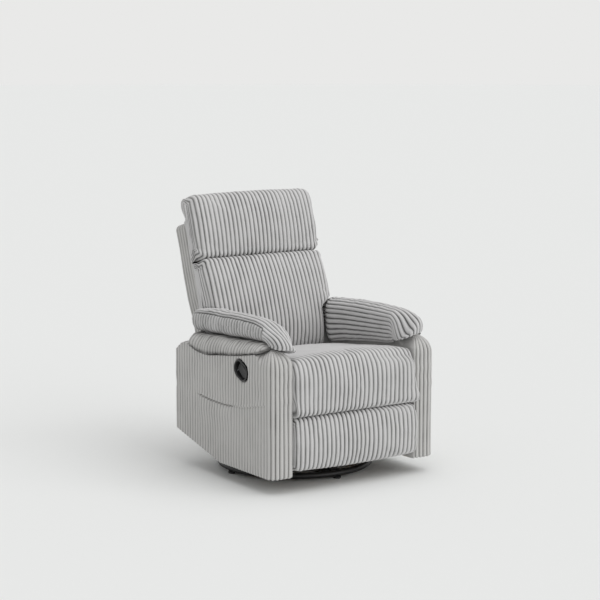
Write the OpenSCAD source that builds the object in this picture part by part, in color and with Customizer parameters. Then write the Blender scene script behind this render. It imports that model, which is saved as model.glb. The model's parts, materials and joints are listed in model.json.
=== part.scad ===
// Swivel rocker recliner with a footrest that folds under the seat, in wide-wale corduroy.
// Millimetres, +Z up, the front of the chair towards -Y. Left and right are as seen from the front.
// The origin is on the floor, on the swivel axis. The chair is drawn at rest: upright and closed.

/* [Overall] */
// Width over the two arm covers
overall_w = 760; // [700:5:860]
// Running gap between each arm and the seat or back that moves beside it
side_gap = 8; // [6:1:12]
// Gap between soft parts that lie against each other
soft_gap = 0.3; // [0.2:0.1:1]

/* [Arms] */
// Thickness of each arm box
arm_t = 100; // [95:1:120]
// Front of the arm covers, ahead of the swivel axis
arm_front = 410; // [400:1:420]
// Rear of the arm covers, behind the swivel axis
arm_rear = 283; // [270:1:300]
// Height of the covers' lower edge
skirt_z = 60; // [52:1:68]
// Rise of the lower edge towards the rear, which leaves room to rock
skirt_rise = 80; // [65:1:95]
// How far ahead of the swivel axis the lower edge starts to rise
skirt_kink = 40; // [20:1:60]
// Height of the covers' top at the bottom of its dip
arm_dip_z = 474; // [465:1:485]
// Height of the rounded front shoulder
shoulder_z = 555; // [550:1:556]
// Radius of the covers' upright front corner
arm_corner_r = 42; // [30:1:50]
// Padding and fabric thickness of the covers
cover_t = 20; // [14:1:22]
// Fabric and board on the arm's inner face
lining_t = 4; // [2:0.5:6]
// Thickness of the arm frames' plywood
ply_t = 15; // [12:1:18]

/* [Arm pillows] */
// Width of an arm pillow
pillow_w = 112; // [100:1:116]
// Thickness of an arm pillow at its fullest
pillow_h = 96; // [86:1:98]
// Height of an arm pillow's top at its fullest
pillow_top_z = 642; // [640:1:655]
// How far a pillow overhangs the seat, past the arm's inner face
pillow_hang = 42; // [34:1:44]
// How far the overhanging side drops towards the seat
pillow_drop = 42; // [30:1:44]
// Front tip of the pillows, ahead of the swivel axis
pillow_front = 412; // [405:1:419]
// Rear end of the pillows, behind the swivel axis
pillow_rear = 200; // [190:1:210]

/* [Seat] */
// Height of the seat's front crown
seat_z = 508; // [495:1:512]
// Height of the seat frame's top, on which the cushion rests
seat_frame_z = 299; // [298:0.5:301]
// Front of the seat's upper roll, ahead of the swivel axis
seat_front = 431; // [426:1:434]
// Rear end of the cushion, behind the swivel axis
seat_rear = 126; // [112:1:128]
// Width of the timber side rails
rail_w = 20; // [16:1:22]
// Height of the timber rails
rail_h = 62; // [56:1:63]
// Number of sinuous springs under the cushion
spring_rows = 4; // [3:1:5]

/* [Back] */
// How far the headrest bulges past the lower pillow on each side
head_bulge = 10; // [4:1:14]
// Lean of the back at rest, in degrees from upright
back_lean = 17.6; // [16:0.2:18.4]
// Height of the back above its hinge, along the lean
back_h = 705; // [680:5:715]
// Height above the hinge of the seam between the lower pillow and the headrest
back_seam = 443; // [425:1:455]
// Height of the outer back above the hinge
shell_h = 602; // [595:1:610]
// Depth of the outer back, front rim to rear face
shell_d = 94; // [86:1:98]
// Thickness of the outer back's padding and fabric
shell_t = 14; // [10:1:18]
// Most that the lower pillow stands ahead of the hinge line
lumbar_d = 121; // [112:1:124]
// Most that the headrest stands ahead of the hinge line
head_d = 99; // [92:1:104]

/* [Footrest] */
// Height of the pad's top edge
pad_top_z = 278; // [274:1:279]
// Height of the pad's lower edge
pad_low_z = 77; // [74:1:80]
// Front of the pad, ahead of the swivel axis
pad_front = 432; // [428:1:436]
// Depth of the pad and its board together
pad_d = 76; // [72:1:78]
// Thickness of the footrest board
board_t = 12; // [10:1:14]
// Length of the four rear links, pivot to pivot
rear_link_l = 206; // [202:1:208]
// Length of the bracket arm that the control links hold
control_arm = 50; // [47:1:53]

/* [Mechanism] */
// Thickness of the steel links and plates
steel_t = 3; // [2.5:0.25:3.25]
// Gap between neighbouring layers of links
layer_gap = 1; // [0.8:0.1:1.2]
// Width of the links
link_w = 15; // [14:0.5:16]
// Diameter of the pivot rivets
rivet_d = 8; // [7:0.5:8.5]
// Radial clearance of the pivots
pivot_gap = 0.05; // [0.02:0.01:0.1]
// Length of the swing links that carry the seat
swing_l = 90; // [86:1:92]
// Lean of the swing links at rest, in degrees behind upright
swing_lean = 10; // [8:1:12]
// Side of the square cross tubes
tube_w = 25; // [20:1:26]
// Wall of the square cross tubes
tube_wall = 2; // [1.5:0.5:3]

/* [Rocker] */
// Radius of the rocker cams
cam_r = 600; // [500:10:700]
// Height of the line on which the cams rest
rock_z = 100; // [98:0.5:101]
// Length of the cams
cam_l = 260; // [240:5:270]
// Width of the cams
cam_w = 30; // [24:1:34]
// Distance from an arm's inner face in to the middle of its cam
cam_inset = 80; // [78:1:85]
// Greatest backward rock, in degrees
rock_back = 10; // [8:1:11]
// Greatest forward rock, in degrees
rock_front = 7; // [5:1:8]
// Wire diameter of the rocker springs
coil_wire = 4.5; // [3.5:0.5:5]
// Outside diameter of the rocker springs
coil_d = 40; // [34:1:44]
// Turns in each rocker spring
coil_turns = 6; // [4:1:7]

/* [Base] */
// Outside diameter of the floor ring
ring_d = 615; // [595:5:625]
// Diameter of the ring's tube
ring_tube_d = 25; // [22:1:26]
// Height of the foot glides
glide_h = 8; // [6:0.5:9]
// Side of the two square swivel plates
plate_w = 200; // [190:5:205]
// Diameter of the bearing balls' circle
race_d = 136; // [120:4:144]
// Number of bearing balls
ball_count = 16; // [12:1:24]
// Diameter of the king bolt
king_d = 12; // [10:1:14]

/* [Release handle] */
// Length of the handle's bezel
bezel_l = 128; // [120:1:136]
// Width of the handle's bezel
bezel_w = 80; // [74:1:86]
// Tilt of the handle, in degrees, its front end the lower
handle_tilt = 38; // [30:1:45]
// Handle's centre, ahead of the swivel axis
handle_y = 212; // [200:1:225]
// Handle's centre, above the floor
handle_z = 440; // [432:1:444]

/* [Side pocket] */
// Length of the pocket's slit
slit_l = 250; // [200:5:280]
// Height of the slit's opening
slit_h = 12; // [10:1:16]
// Height of the slit above the floor
slit_z = 303; // [292:1:316]
// Depth of the pocket below the slit
pouch_h = 140; // [120:5:150]

/* [Hidden] */
$fn = 64;
over = 1;           // overrun of cuts
fit = 0.3;          // gap where one piece stands on or beside another of its own body

// Places across the chair, for the side of positive X
half_w = overall_w / 2;
arm_in = half_w - arm_t;
moving_w = arm_in - side_gap;
rail_out = moving_w - 2 * layer_gap;
plate_x = rail_out - rail_w - steel_t;
outer_layer = plate_x - layer_gap - steel_t;
inner_layer = outer_layer - layer_gap - steel_t;
cam_x = arm_in - cam_inset;
rivet_head_r = 7;
rivet_head_t = 2;

// Heights through the base, from the floor up
ring_z = glide_h + ring_tube_d / 2;
ring_r = (ring_d - ring_tube_d) / 2;
bar_w = 40;
bar_h = 20;
plate_low_z = glide_h + ring_tube_d;
ball_d = 5.9;
ball_play = 0.05;
plate_up_z = plate_low_z + steel_t + ball_d + 2 * ball_play;
rail_z = plate_up_z + steel_t;
cross_rail_w = 30;
cross_rail_y = 60;
track_h = 25;
track_low_z = rock_z - track_h;
track_l = 250;
cam_top_z = rock_z + 50;
web_h = 28;
tube_z = cam_top_z + web_h + fit;
front_tube_y = -110;
rear_tube_y = 150;

// Seat carrier: four equal upright links, as places in the side view [y, z]
swing_rise = 75;
swing_front_y = -60;
swing_rear_y = 85;
function along(p, l, lean) = [p[0] + l * cos(lean), p[1] + l * sin(lean)];
swing_front = [swing_front_y, rock_z + swing_rise];
swing_rear = [swing_rear_y, rock_z + swing_rise];
swing_front_top = along(swing_front, swing_l, 90 - swing_lean);
swing_rear_top = along(swing_rear, swing_l, 90 - swing_lean);
swing_w = 20;
hinge_y = 180;
hinge_z = 375;
back_hinge = [hinge_y, hinge_z];
stretcher_t = 12;
stretcher_w = 30;
seat_rear_rail_y = 80;

// Footrest linkage, as places in the side view [y, z]. The four rear links turn a quarter about their
// upper pivots, the front links stay level, and the footrest turns a quarter about the seat's edge.
board_y = -(pad_front - pad_d);
rear_link_lean = -76;
link_pair_y = 62;
link_pair_z = 4;
main_top_back = 125;
main_top_drop = 20;
foot_pivot_back = 24;
foot_pivot_z = 200;
main_top = [board_y + main_top_back, seat_frame_z - main_top_drop];
second_top = [main_top[0] - link_pair_y, main_top[1] + link_pair_z];
knee = along(main_top, rear_link_l, rear_link_lean);
second_knee = [knee[0] - link_pair_y, knee[1] + link_pair_z];
foot_pivot = [board_y + foot_pivot_back, foot_pivot_z];
control_knee = along(second_knee, -control_arm, rear_link_lean);
control_foot = along(foot_pivot, -control_arm, rear_link_lean);

// Colours
fabric = [0.72, 0.71, 0.69];
fabric_side = [0.64, 0.63, 0.61];
black = [0.06, 0.06, 0.065];
steel = [0.35, 0.36, 0.38];
zinc = [0.7, 0.71, 0.73];
timber = [0.8, 0.66, 0.46];

// Helpers: places and plates

module both_sides() {
    children();
    mirror([1, 0, 0]) children();
}

module on_left() {
    mirror([1, 0, 0]) children();
}

// A flat outline in the side view [y, z], standing from x outwards
module side_plate(x, t) {
    translate([x, 0, 0]) rotate([90, 0, 90]) linear_extrude(t) children();
}

// A round bar across the chair, at a place of the side view
module cross_bar(p, r, x, l) {
    translate([x, p[0], p[1]]) rotate([0, 90, 0]) cylinder(r = r, h = l);
}

// A link's outline between two pivots, round at both ends
module link_outline(p, q, w) {
    d = q - p;
    translate(p) rotate(atan2(d[1], d[0])) {
        circle(d = w);
        translate([norm(d), 0]) circle(d = w);
        translate([0, -w / 2]) square([norm(d), w]);
    }
}

// A link with its pivot holes
module link(points, holes, x, w) {
    difference() {
        side_plate(x, steel_t)
            for (i = [0 : len(points) - 2]) link_outline(points[i], points[i + 1], w);
        for (p = holes) cross_bar(p, rivet_d / 2 + pivot_gap, x - over, steel_t + 2 * over);
    }
}

// A rivet with its head on the side towards the chair's middle
module rivet(p, x, l) {
    cross_bar(p, rivet_d / 2, x - fit, l + fit);
    cross_bar(p, rivet_head_r, x - fit - rivet_head_t, rivet_head_t);
}

// Helpers: curves and cushions

// A smooth open curve through points, with a number of steps between neighbours
function blend_at(a, b, c, d, t) =
    0.5 * (2 * b + (c - a) * t + (2 * a - 5 * b + 4 * c - d) * t * t + (3 * b - a - 3 * c + d) * t * t * t);
function curve(p, steps) = let (n = len(p)) concat(
    [for (i = [0 : n - 2], s = [0 : steps - 1])
        blend_at(p[max(i - 1, 0)], p[i], p[i + 1], p[min(i + 2, n - 1)], s / steps)],
    [p[n - 1]]);

// The same outline moved inwards, each point by its own share of the distance
function moved_in(p, hold, d) = let (n = len(p)) [
    for (i = [0 : n - 1])
        let (a = p[(i + n - 1) % n], b = p[(i + 1) % n], t = (b - a) / norm(b - a))
        p[i] + d * hold[i] * [-t[1], t[0]]];

// Triangles over a stack of rings with the same number of points, closed by a fan at each end
function stack_faces(rings, n) = concat(
    [for (i = [0 : rings - 2], j = [0 : n - 1])
        [i * n + j, (i + 1) * n + j, (i + 1) * n + (j + 1) % n]],
    [for (i = [0 : rings - 2], j = [0 : n - 1])
        [i * n + j, (i + 1) * n + (j + 1) % n, i * n + (j + 1) % n]],
    [for (j = [0 : n - 1]) [rings * n, j, (j + 1) % n]],
    [for (j = [0 : n - 1]) [rings * n + 1, (rings - 1) * n + (j + 1) % n, (rings - 1) * n + j]]);

function middle(ring) = [for (k = [0 : 2]) [for (q = ring) q[k]] * [for (q = ring) 1] / len(ring)];
module stack(rings) {
    polyhedron(
        points = concat([for (r = rings) each r], [middle(rings[0]), middle(rings[len(rings) - 1])]),
        faces = stack_faces(len(rings), len(rings[0])));
}

// A cushion across the chair: a side-view outline that is fullest in the middle, with rounded ends.
// Held points stay where they are, so the cushion is flat where it rests.
side_shares = [0.5, 0.75, 0.9, 0.975, 1];
inset_shares = [0, 0.05, 0.2, 0.55, 1];
module cushion(outline, hold, half, crown, edge) {
    right = concat([[0, 0]], [for (i = [0 : len(side_shares) - 1])
        [half * side_shares[i], crown * pow(side_shares[i], 2) + edge * inset_shares[i]]]);
    left = [for (i = [len(right) - 1 : -1 : 1]) [-right[i][0], right[i][1]]];
    stack([for (s = concat(left, right)) [for (q = moved_in(outline, hold, s[1])) [s[0], q[0], q[1]]]]);
}

// Base: what stands still on the floor

module base_ring() {
    color(black) translate([0, 0, ring_z]) rotate_extrude($fn = 96)
        translate([ring_r, 0]) circle(d = ring_tube_d);
}

// Two flat bars cross under the swivel plate and end against the ring's tube
module base_cross_bars() {
    reach = sqrt(pow(ring_r - ring_tube_d / 2, 2) - pow(bar_w / 2, 2)) - fit;
    color(black) difference() {
        translate([0, 0, plate_low_z - fit - bar_h]) union() {
            translate([-reach, -bar_w / 2, 0]) cube([2 * reach, bar_w, bar_h]);
            translate([-bar_w / 2, -reach, 0]) cube([bar_w, 2 * reach, bar_h]);
        }
        cylinder(r = king_d / 2 + fit, h = plate_up_z);
        lower_screw_places() cylinder(r = screw_r + pivot_gap, h = plate_up_z);
    }
}

screw_r = 3;
screw_head_r = 5.5;
screw_head_t = 2.5;
// A lower screw's place on the way from the bearing balls to the plate's edge
lower_screw_share = 0.1967;
lower_screw_near = race_d / 2 + ball_d / 2 + screw_head_r;
lower_screw_far = plate_w / 2 - screw_head_r;
lower_screw_reach = lower_screw_near + (lower_screw_far - lower_screw_near) * lower_screw_share;
module lower_screw_places() {
    for (a = [0 : 90 : 270]) rotate(a) translate([lower_screw_reach, 0, 0]) children();
}

glide_r = 14;
module foot_glides() {
    color(black) for (a = [0 : 90 : 270]) rotate(a) translate([ring_r, 0, 0]) {
        cylinder(r1 = glide_r - 2, r2 = glide_r, h = glide_h / 4);
        translate([0, 0, glide_h / 4]) cylinder(r = glide_r, h = glide_h * 3 / 4 - fit);
    }
}

race_r = race_d / 2;
race_z = plate_low_z + steel_t + ball_play + ball_d / 2;
module race_groove() {
    translate([0, 0, race_z]) rotate_extrude() translate([race_r, 0])
        circle(d = ball_d + 4 * ball_play);
}

module swivel_plate(z) {
    translate([-plate_w / 2, -plate_w / 2, z]) cube([plate_w, plate_w, steel_t]);
}

module lower_swivel_plate() {
    color(zinc) difference() {
        swivel_plate(plate_low_z);
        race_groove();
        cylinder(r = king_d / 2 + fit, h = plate_up_z);
        lower_screw_places() cylinder(r = screw_r + pivot_gap, h = plate_up_z);
    }
}

module bearing_balls() {
    color(zinc) for (i = [0 : ball_count - 1]) rotate(i * 360 / ball_count)
        translate([race_r, 0, race_z]) sphere(d = ball_d);
}

king_head_t = 6;
module king_bolt() {
    head_z = plate_low_z - bar_h - 2 * fit - king_head_t;
    color(zinc) {
        translate([0, 0, head_z]) cylinder(d = king_d * 1.6, h = king_head_t);
        translate([0, 0, head_z]) cylinder(d = king_d, h = rail_z + fit + king_head_t - head_z);
        translate([0, 0, rail_z + fit]) cylinder(d = king_d * 1.8, h = king_head_t);
    }
}

module lower_plate_screws() {
    color(zinc) lower_screw_places() {
        translate([0, 0, plate_low_z - bar_h / 2]) cylinder(r = screw_r, h = bar_h / 2 + steel_t + fit);
        translate([0, 0, plate_low_z + steel_t + fit / 2]) cylinder(r = screw_head_r, h = screw_head_t);
    }
}

// Turntable: turns on the balls and carries the rocker tracks

upper_screw_x = plate_w * 0.4;
module upper_screw_places() {
    for (x = [-upper_screw_x, upper_screw_x], y = [-cross_rail_y, cross_rail_y])
        translate([x, y, 0]) children();
}

module upper_swivel_plate() {
    color(zinc) difference() {
        swivel_plate(plate_up_z);
        race_groove();
        translate([0, 0, plate_low_z]) cylinder(r = king_d / 2 + pivot_gap, h = rail_z);
        upper_screw_places() translate([0, 0, plate_low_z]) cylinder(r = screw_r + pivot_gap, h = rail_z);
    }
}

module upper_plate_screws() {
    color(zinc) upper_screw_places() {
        translate([0, 0, plate_up_z - fit / 2 - screw_head_t]) cylinder(r = screw_head_r, h = screw_head_t);
        translate([0, 0, plate_up_z - fit]) cylinder(r = screw_r, h = steel_t + cross_rail_w / 2);
    }
}

track_w = cam_w + 6;
cross_rail_l = 2 * cam_x + track_w;
module rocker_cross_rails() {
    h = track_low_z - rail_z - 2 * fit;
    color(black) for (y = [-cross_rail_y, cross_rail_y]) difference() {
        translate([-cross_rail_l / 2, y - cross_rail_w / 2, rail_z + fit])
            cube([cross_rail_l, cross_rail_w, h]);
        translate([-cross_rail_l / 2 - over, y - cross_rail_w / 2 + tube_wall, rail_z + fit + tube_wall])
            cube([cross_rail_l + 2 * over, cross_rail_w - 2 * tube_wall, h - 2 * tube_wall]);
        upper_screw_places() translate([0, 0, rail_z]) cylinder(r = screw_r + pivot_gap, h = h / 2);
    }
}

// A track is hollowed so that its cam can rock about the line where it rests
module rocker_track() {
    r = cam_r + fit;
    color(timber) difference() {
        translate([cam_x - track_w / 2, -track_l / 2, track_low_z]) cube([track_w, track_l, track_h]);
        for (a = [rock_back, -rock_front])
            cross_bar([r * sin(a), rock_z + cam_r * cos(a)], r, cam_x - track_w, 2 * track_w, $fn = 240);
    }
}
module right_rocker_track() { rocker_track(); }
module left_rocker_track() { on_left() rocker_track(); }

strip_gap = 7;
strip_rim = 5;
spring_strip_w = coil_d + 2 * strip_rim;
spring_x = cam_x - track_w / 2 - strip_gap - spring_strip_w / 2;
spring_y = 70;
spring_strip_l = 2 * spring_y + spring_strip_w;
module lower_spring_plates() {
    color(steel) both_sides()
        translate([spring_x - spring_strip_w / 2, -spring_strip_l / 2, track_low_z])
            cube([spring_strip_w, spring_strip_l, steel_t]);
}

// Chassis: rocks on the tracks

// A tube swept along a helix, with straight upright ends
coil_sides = 6;
rings_a_turn = 8;
coil_foot_z = track_low_z + steel_t + fit;
coil_top_z = cam_top_z + steel_t - fit;
coil_r = (coil_d - coil_wire) / 2;
coil_rise = coil_top_z - coil_foot_z - 2 * coil_wire;
coil_steps = coil_turns * rings_a_turn;
function coil_point(i) = [
    coil_r * cos(360 * i / rings_a_turn), coil_r * sin(360 * i / rings_a_turn),
    coil_foot_z + coil_wire + coil_rise * i / coil_steps];
coil_path = concat(
    [coil_point(0) - [0, 0, coil_wire]],
    [for (i = [0 : coil_steps]) coil_point(i)],
    [coil_point(coil_steps) + [0, 0, coil_wire]]);
function coil_ring(i) = let (
    n = len(coil_path), c = coil_path[i],
    along = i == 0 || i == n - 1 ? [0, 0, 1] : coil_path[i + 1] - coil_path[i - 1],
    out = [c[0], c[1], 0] / coil_r,
    side = cross(along / norm(along), out))
    [for (k = [0 : coil_sides - 1])
        c + coil_wire / 2 * (cos(360 * k / coil_sides) * out + sin(360 * k / coil_sides) * side)];
coil_self_gap = coil_rise / coil_turns * cos(atan(coil_rise / coil_turns / (2 * PI * coil_r))) - coil_wire;
echo(least_gap_between_spring_turns = coil_self_gap);

module rocker_springs() {
    color(black) both_sides() for (y = [-spring_y, spring_y])
        translate([spring_x, y, 0]) stack([for (i = [0 : len(coil_path) - 1]) coil_ring(i)]);
}

module upper_spring_plates() {
    color(steel) both_sides()
        translate([spring_x - spring_strip_w / 2, -spring_strip_l / 2, cam_top_z + steel_t])
            cube([inner_layer - fit - spring_x + spring_strip_w / 2, spring_strip_l, steel_t]);
}

module rocker_cam() {
    color(timber) intersection() {
        cross_bar([0, rock_z + cam_r], cam_r, cam_x - cam_w / 2, cam_w, $fn = 240);
        translate([cam_x - cam_w, -cam_l / 2, rock_z - over])
            cube([2 * cam_w, cam_l, cam_top_z - fit - rock_z + over]);
    }
}
module right_rocker_cam() { rocker_cam(); }
module left_rocker_cam() { on_left() rocker_cam(); }

// An angle rail lies on each cam. Its upright web has an ear at each swing link's lower pivot.
ear_r = 14;
rail_front_y = -150;
rail_rear_y = 190;
module base_rail() {
    color(steel) {
        translate([cam_x - cam_w, rail_front_y, cam_top_z])
            cube([inner_layer + steel_t - cam_x + cam_w, rail_rear_y - rail_front_y, steel_t]);
        difference() {
            side_plate(inner_layer, steel_t) {
                translate([rail_front_y, cam_top_z]) square([rail_rear_y - rail_front_y, web_h]);
                for (p = [swing_front, swing_rear]) translate(p) circle(r = ear_r);
            }
            for (p = [swing_front, swing_rear])
                cross_bar(p, rivet_d / 2 + pivot_gap, inner_layer - over, steel_t + 2 * over);
        }
    }
}
module right_base_rail() { base_rail(); }
module left_base_rail() { on_left() base_rail(); }

module cross_tube(y) {
    l = 2 * (arm_in - fit);
    color(black) difference() {
        translate([-l / 2, y - tube_w / 2, tube_z]) cube([l, tube_w, tube_w]);
        translate([-l / 2 - over, y - tube_w / 2 + tube_wall, tube_z + tube_wall])
            cube([l + 2 * over, tube_w - 2 * tube_wall, tube_w - 2 * tube_wall]);
    }
}
module front_cross_tube() { cross_tube(front_tube_y); }
module rear_cross_tube() { cross_tube(rear_tube_y); }

bolt_r = 4;
bolt_head_r = 8;
bolt_head_t = 5;
tube_plug_l = 25;
module arm_bolt_places() {
    for (y = [front_tube_y, rear_tube_y]) translate([0, y, tube_z + tube_w / 2]) rotate([0, 90, 0]) children();
}
// Each bolt screws into a plug in the end of a cross tube
module arm_bolts() {
    board_x = arm_in + lining_t + fit;
    plug_w = tube_w - 2 * tube_wall - 2 * fit;
    color(zinc) both_sides() arm_bolt_places() {
        translate([0, 0, arm_in - tube_plug_l]) cylinder(r = bolt_r, h = board_x + ply_t + fit + tube_plug_l - arm_in);
        translate([0, 0, board_x + ply_t + fit]) cylinder(r = bolt_head_r, h = bolt_head_t);
        translate([-plug_w / 2, -plug_w / 2, arm_in - fit - tube_plug_l]) cube([plug_w, plug_w, tube_plug_l]);
    }
}

module swing_base_rivets() {
    color(zinc) both_sides() for (p = [swing_front, swing_rear])
        rivet(p, inner_layer, 2 * steel_t + layer_gap);
}

// Arms

// Shares of the cover's length and of the shoulder's rise, from the rear corner over the dip to the front
arm_top_shares = [
    [0.986, -0.13], [0.952, 0.15], [0.903, 0.32], [0.837, 0.2], [0.776, 0.05], [0.646, 0], [0.534, 0.12],
    [0.303, 0.39], [0.143, 0.68], [0.094, 0.91], [0.055, 1], [0.02, 0.9], [0, 0.585]];
function arm_top(d) = [for (q = curve(arm_top_shares, 2)) [
    -arm_front + d + q[0] * (arm_front + arm_rear - 2 * d),
    arm_dip_z - d + q[1] * (shoulder_z - arm_dip_z)]];
function arm_outline(d, low) = concat(
    [[-arm_front + d, skirt_z - low], [-skirt_kink, skirt_z - low], [arm_rear - d, skirt_z + skirt_rise - low]],
    arm_top(d));

// The arm box seen from above, with its rounded front corner
module arm_plan(x0, x1, d, r) {
    front = -arm_front + d;
    difference() {
        translate([x0, front]) square([x1 - x0, arm_front + arm_rear - 2 * d]);
        translate([x1 - r, front + r]) difference() {
            translate([0, -r - over]) square(r + over);
            circle(r = r);
        }
    }
}

// Cuts that round the front shoulder, outside and towards the seat, deeper by d
shoulder_r = 34;
shoulder_l = 75;
shoulder_slope = 40;
module shoulder_cuts(d) {
    slope = shoulder_slope + 1.4 * d;
    translate([0, -arm_front + shoulder_l + d, 0]) rotate([90, 0, 0])
        linear_extrude(shoulder_l + d + over) {
            translate([half_w - shoulder_r, shoulder_z - shoulder_r]) difference() {
                square(shoulder_r + over);
                circle(r = shoulder_r);
            }
            polygon([[arm_in - over, shoulder_z - slope], [arm_in + slope, shoulder_z + over],
                [arm_in - over, shoulder_z + over]]);
        }
}

cover_rear_t = 12;
module arm_cover() {
    difference() {
        intersection() {
            side_plate(arm_in, arm_t) polygon(arm_outline(0, 0));
            linear_extrude(shoulder_z + over) arm_plan(arm_in, half_w, 0, arm_corner_r);
        }
        intersection() {
            side_plate(arm_in + lining_t, arm_t - lining_t - cover_t) polygon(arm_outline(cover_t, cover_t));
            difference() {
                linear_extrude(shoulder_z + over)
                    arm_plan(arm_in + lining_t, half_w - cover_t, cover_t, arm_corner_r - cover_t);
                shoulder_cuts(cover_t);
            }
        }
        shoulder_cuts(0);
        arm_bolt_places() translate([0, 0, arm_in - over]) cylinder(r = bolt_r + fit, h = lining_t + 2 * over);
    }
}
module right_arm_cover() { color(fabric_side) arm_cover(); }

slit_rear = 115;
module left_arm_cover() {
    color(fabric_side) on_left() difference() {
        arm_cover();
        handle_place() stadium(cup_l + 2 * fit, cup_w + 2 * fit, -cup_d - over, cup_d + cover_t);
        translate([half_w - cover_t - over, slit_rear - slit_l, slit_z - slit_h / 2])
            cube([cover_t + 2 * over, slit_l, slit_h]);
    }
}

// Plywood frame inside each arm: a board towards the seat, two posts and two rails
frame_post_w = 40;
frame_rail_h = 45;
frame_d = 36;
module arm_frame() {
    x = arm_in + lining_t + fit;
    d = cover_t + 3 * fit;
    post_x = x + ply_t + fit;
    front = -arm_front + d + arm_corner_r / 2;
    rear = arm_top(d)[0][0] - fit;
    color(timber) {
        difference() {
            side_plate(x, ply_t) intersection() {
                polygon(arm_outline(d, 0));
                translate([-arm_front, skirt_z])
                    square([arm_front + arm_rear, shoulder_z - shoulder_slope - 2 * cover_t - skirt_z]);
            }
            arm_bolt_places() translate([0, 0, x - over]) cylinder(r = bolt_r + fit, h = ply_t + 2 * over);
        }
        translate([post_x, front, skirt_z + ply_t]) cube([frame_d, frame_post_w, arm_dip_z - skirt_z - 2 * ply_t - cover_t]);
        translate([post_x, rear - frame_post_w, skirt_z + skirt_rise])
            cube([frame_d, frame_post_w, arm_dip_z - skirt_z - skirt_rise - 2 * cover_t - ply_t]);
        for (z = [tube_z + tube_w + ply_t, arm_dip_z - cover_t - frame_rail_h - ply_t])
            translate([post_x, front + frame_post_w + fit, z])
                cube([frame_d, rear - front - 2 * frame_post_w - 2 * fit, frame_rail_h]);
    }
}
module right_arm_frame() { arm_frame(); }
module left_arm_frame() { on_left() arm_frame(); }

// Arm pillow, from its rear end to its tip: shares of its length, of its thickness down from the
// fullest top, of its thickness, and of the overhang that is drawn back to clear the chair's back
pillow_shares = [
    [0, 0.41, 0.5, 1], [0.016, 0.27, 0.85, 1], [0.078, 0.18, 0.94, 1], [0.117, 0.15, 0.96, 1],
    [0.172, 0.11, 0.99, 0.45], [0.234, 0.085, 0.99, 0], [0.35, 0.03, 1, 0], [0.469, 0, 1, 0],
    [0.58, 0, 0.96, 0], [0.672, 0, 0.925, 0], [0.75, 0.04, 0.855, 0], [0.8125, 0.095, 0.78, 0],
    [0.89, 0.21, 0.655, 0], [0.931, 0.3, 0.595, 0], [0.961, 0.4, 0.535, 0], [0.984, 0.52, 0.43, 0],
    [0.995, 0.62, 0.3, 0], [1, 0.7, 0.15, 0]];
// Share of the pillow's length over which its nose rounds off, and the width left at its tip
nose_share = 0.15;
nose_tip_share = 0.2;
pillow_points = 16;
pillow_square_share = 0.77;
drop_shape_share = 0.5;
function rounded(v, e) = sign(v) * pow(abs(v), e);
function pillow_y(q) = pillow_rear - q[0] * (pillow_rear + pillow_front);
function pillow_low(q) = pillow_top_z - (q[1] + q[2]) * pillow_h;
function nose_width(q) = max(nose_tip_share, sqrt(1 - pow(max(0, 1 - (1 - q[0]) / nose_share), 2)));
function pillow_ring(q) = let (
    inner = arm_in - pillow_hang + q[3] * (pillow_hang + soft_gap + steel_t),
    outer = arm_in - pillow_hang + pillow_w,
    half = (outer - inner) / 2 * nose_width(q),
    thick = q[2] * pillow_h / 2,
    drop = pillow_drop * (1 - q[3]) * min(1, pow(1.5 * q[2], 2)))
    [for (k = [0 : pillow_points - 1])
        let (c = cos(360 * k / pillow_points), s = sin(360 * k / pillow_points))
        [(outer + inner) / 2 + half * rounded(c, pillow_square_share), pillow_y(q),
            pillow_low(q) + thick + thick * rounded(s, pillow_square_share)
            - (c < -0.1 && s < -0.1 ? drop * pow(c * s, drop_shape_share) : 0)]];
module arm_pillow() {
    color(fabric) stack([for (q = pillow_shares) pillow_ring(q)]);
}
module right_arm_pillow() { arm_pillow(); }
module left_arm_pillow() { on_left() arm_pillow(); }

// Puckered strip between the cover's dipping top and the pillow's underside
flange_shares = [
    [0.17, 0], [0.99, 0], [1, 0.2], [0.96, 0.5], [0.84, 0.8], [0.68, 1], [0.26, 1], [0.17, 0.8]];
flange_front = arm_front - shoulder_l;
pillow_rest_shares = [for (q = pillow_shares) if (q[2] > 0.6) q];
function pillow_under(y) = lookup(y, [for (q = pillow_rest_shares) [pillow_y(q), pillow_low(q)]]);
flange_line = [for (q = arm_top(0)) if (q[0] < pillow_rear - steel_t && q[0] > -flange_front) q];
module arm_flange() {
    color(fabric_side) stack([for (q = flange_line)
        let (low = q[1] + fit, high = pillow_under(q[0]) - soft_gap)
        [for (s = flange_shares) [arm_in + s[0] * arm_t, q[0], low + s[1] * (high - low)]]]);
}
module right_arm_flange() { arm_flange(); }
module left_arm_flange() { on_left() arm_flange(); }

// Release handle and side pocket, in the left arm

bezel_rim = 7;
bezel_t = 2.5;
cup_wall = 3;
cup_d = 26;
paddle_t = 4;
paddle_gap = 4;
finger_gap = 20;
pin_d = 4;
pin_inset = 22;
pin_depth = 9;

// The handle's own frame: long axis along Y, its outer face at zero, +X outwards
module handle_place() {
    translate([half_w, -handle_y, handle_z]) rotate([handle_tilt, 0, 0]) children();
}

// A round-ended plate of length l and width w, from depth x0 for a thickness t
module stadium(l, w, x0, t) {
    translate([x0, 0, 0]) rotate([90, 0, 90]) linear_extrude(t) {
        square([l - w, w], center = true);
        for (s = [-1, 1]) translate([s * (l - w) / 2, 0]) circle(d = w);
    }
}

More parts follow.
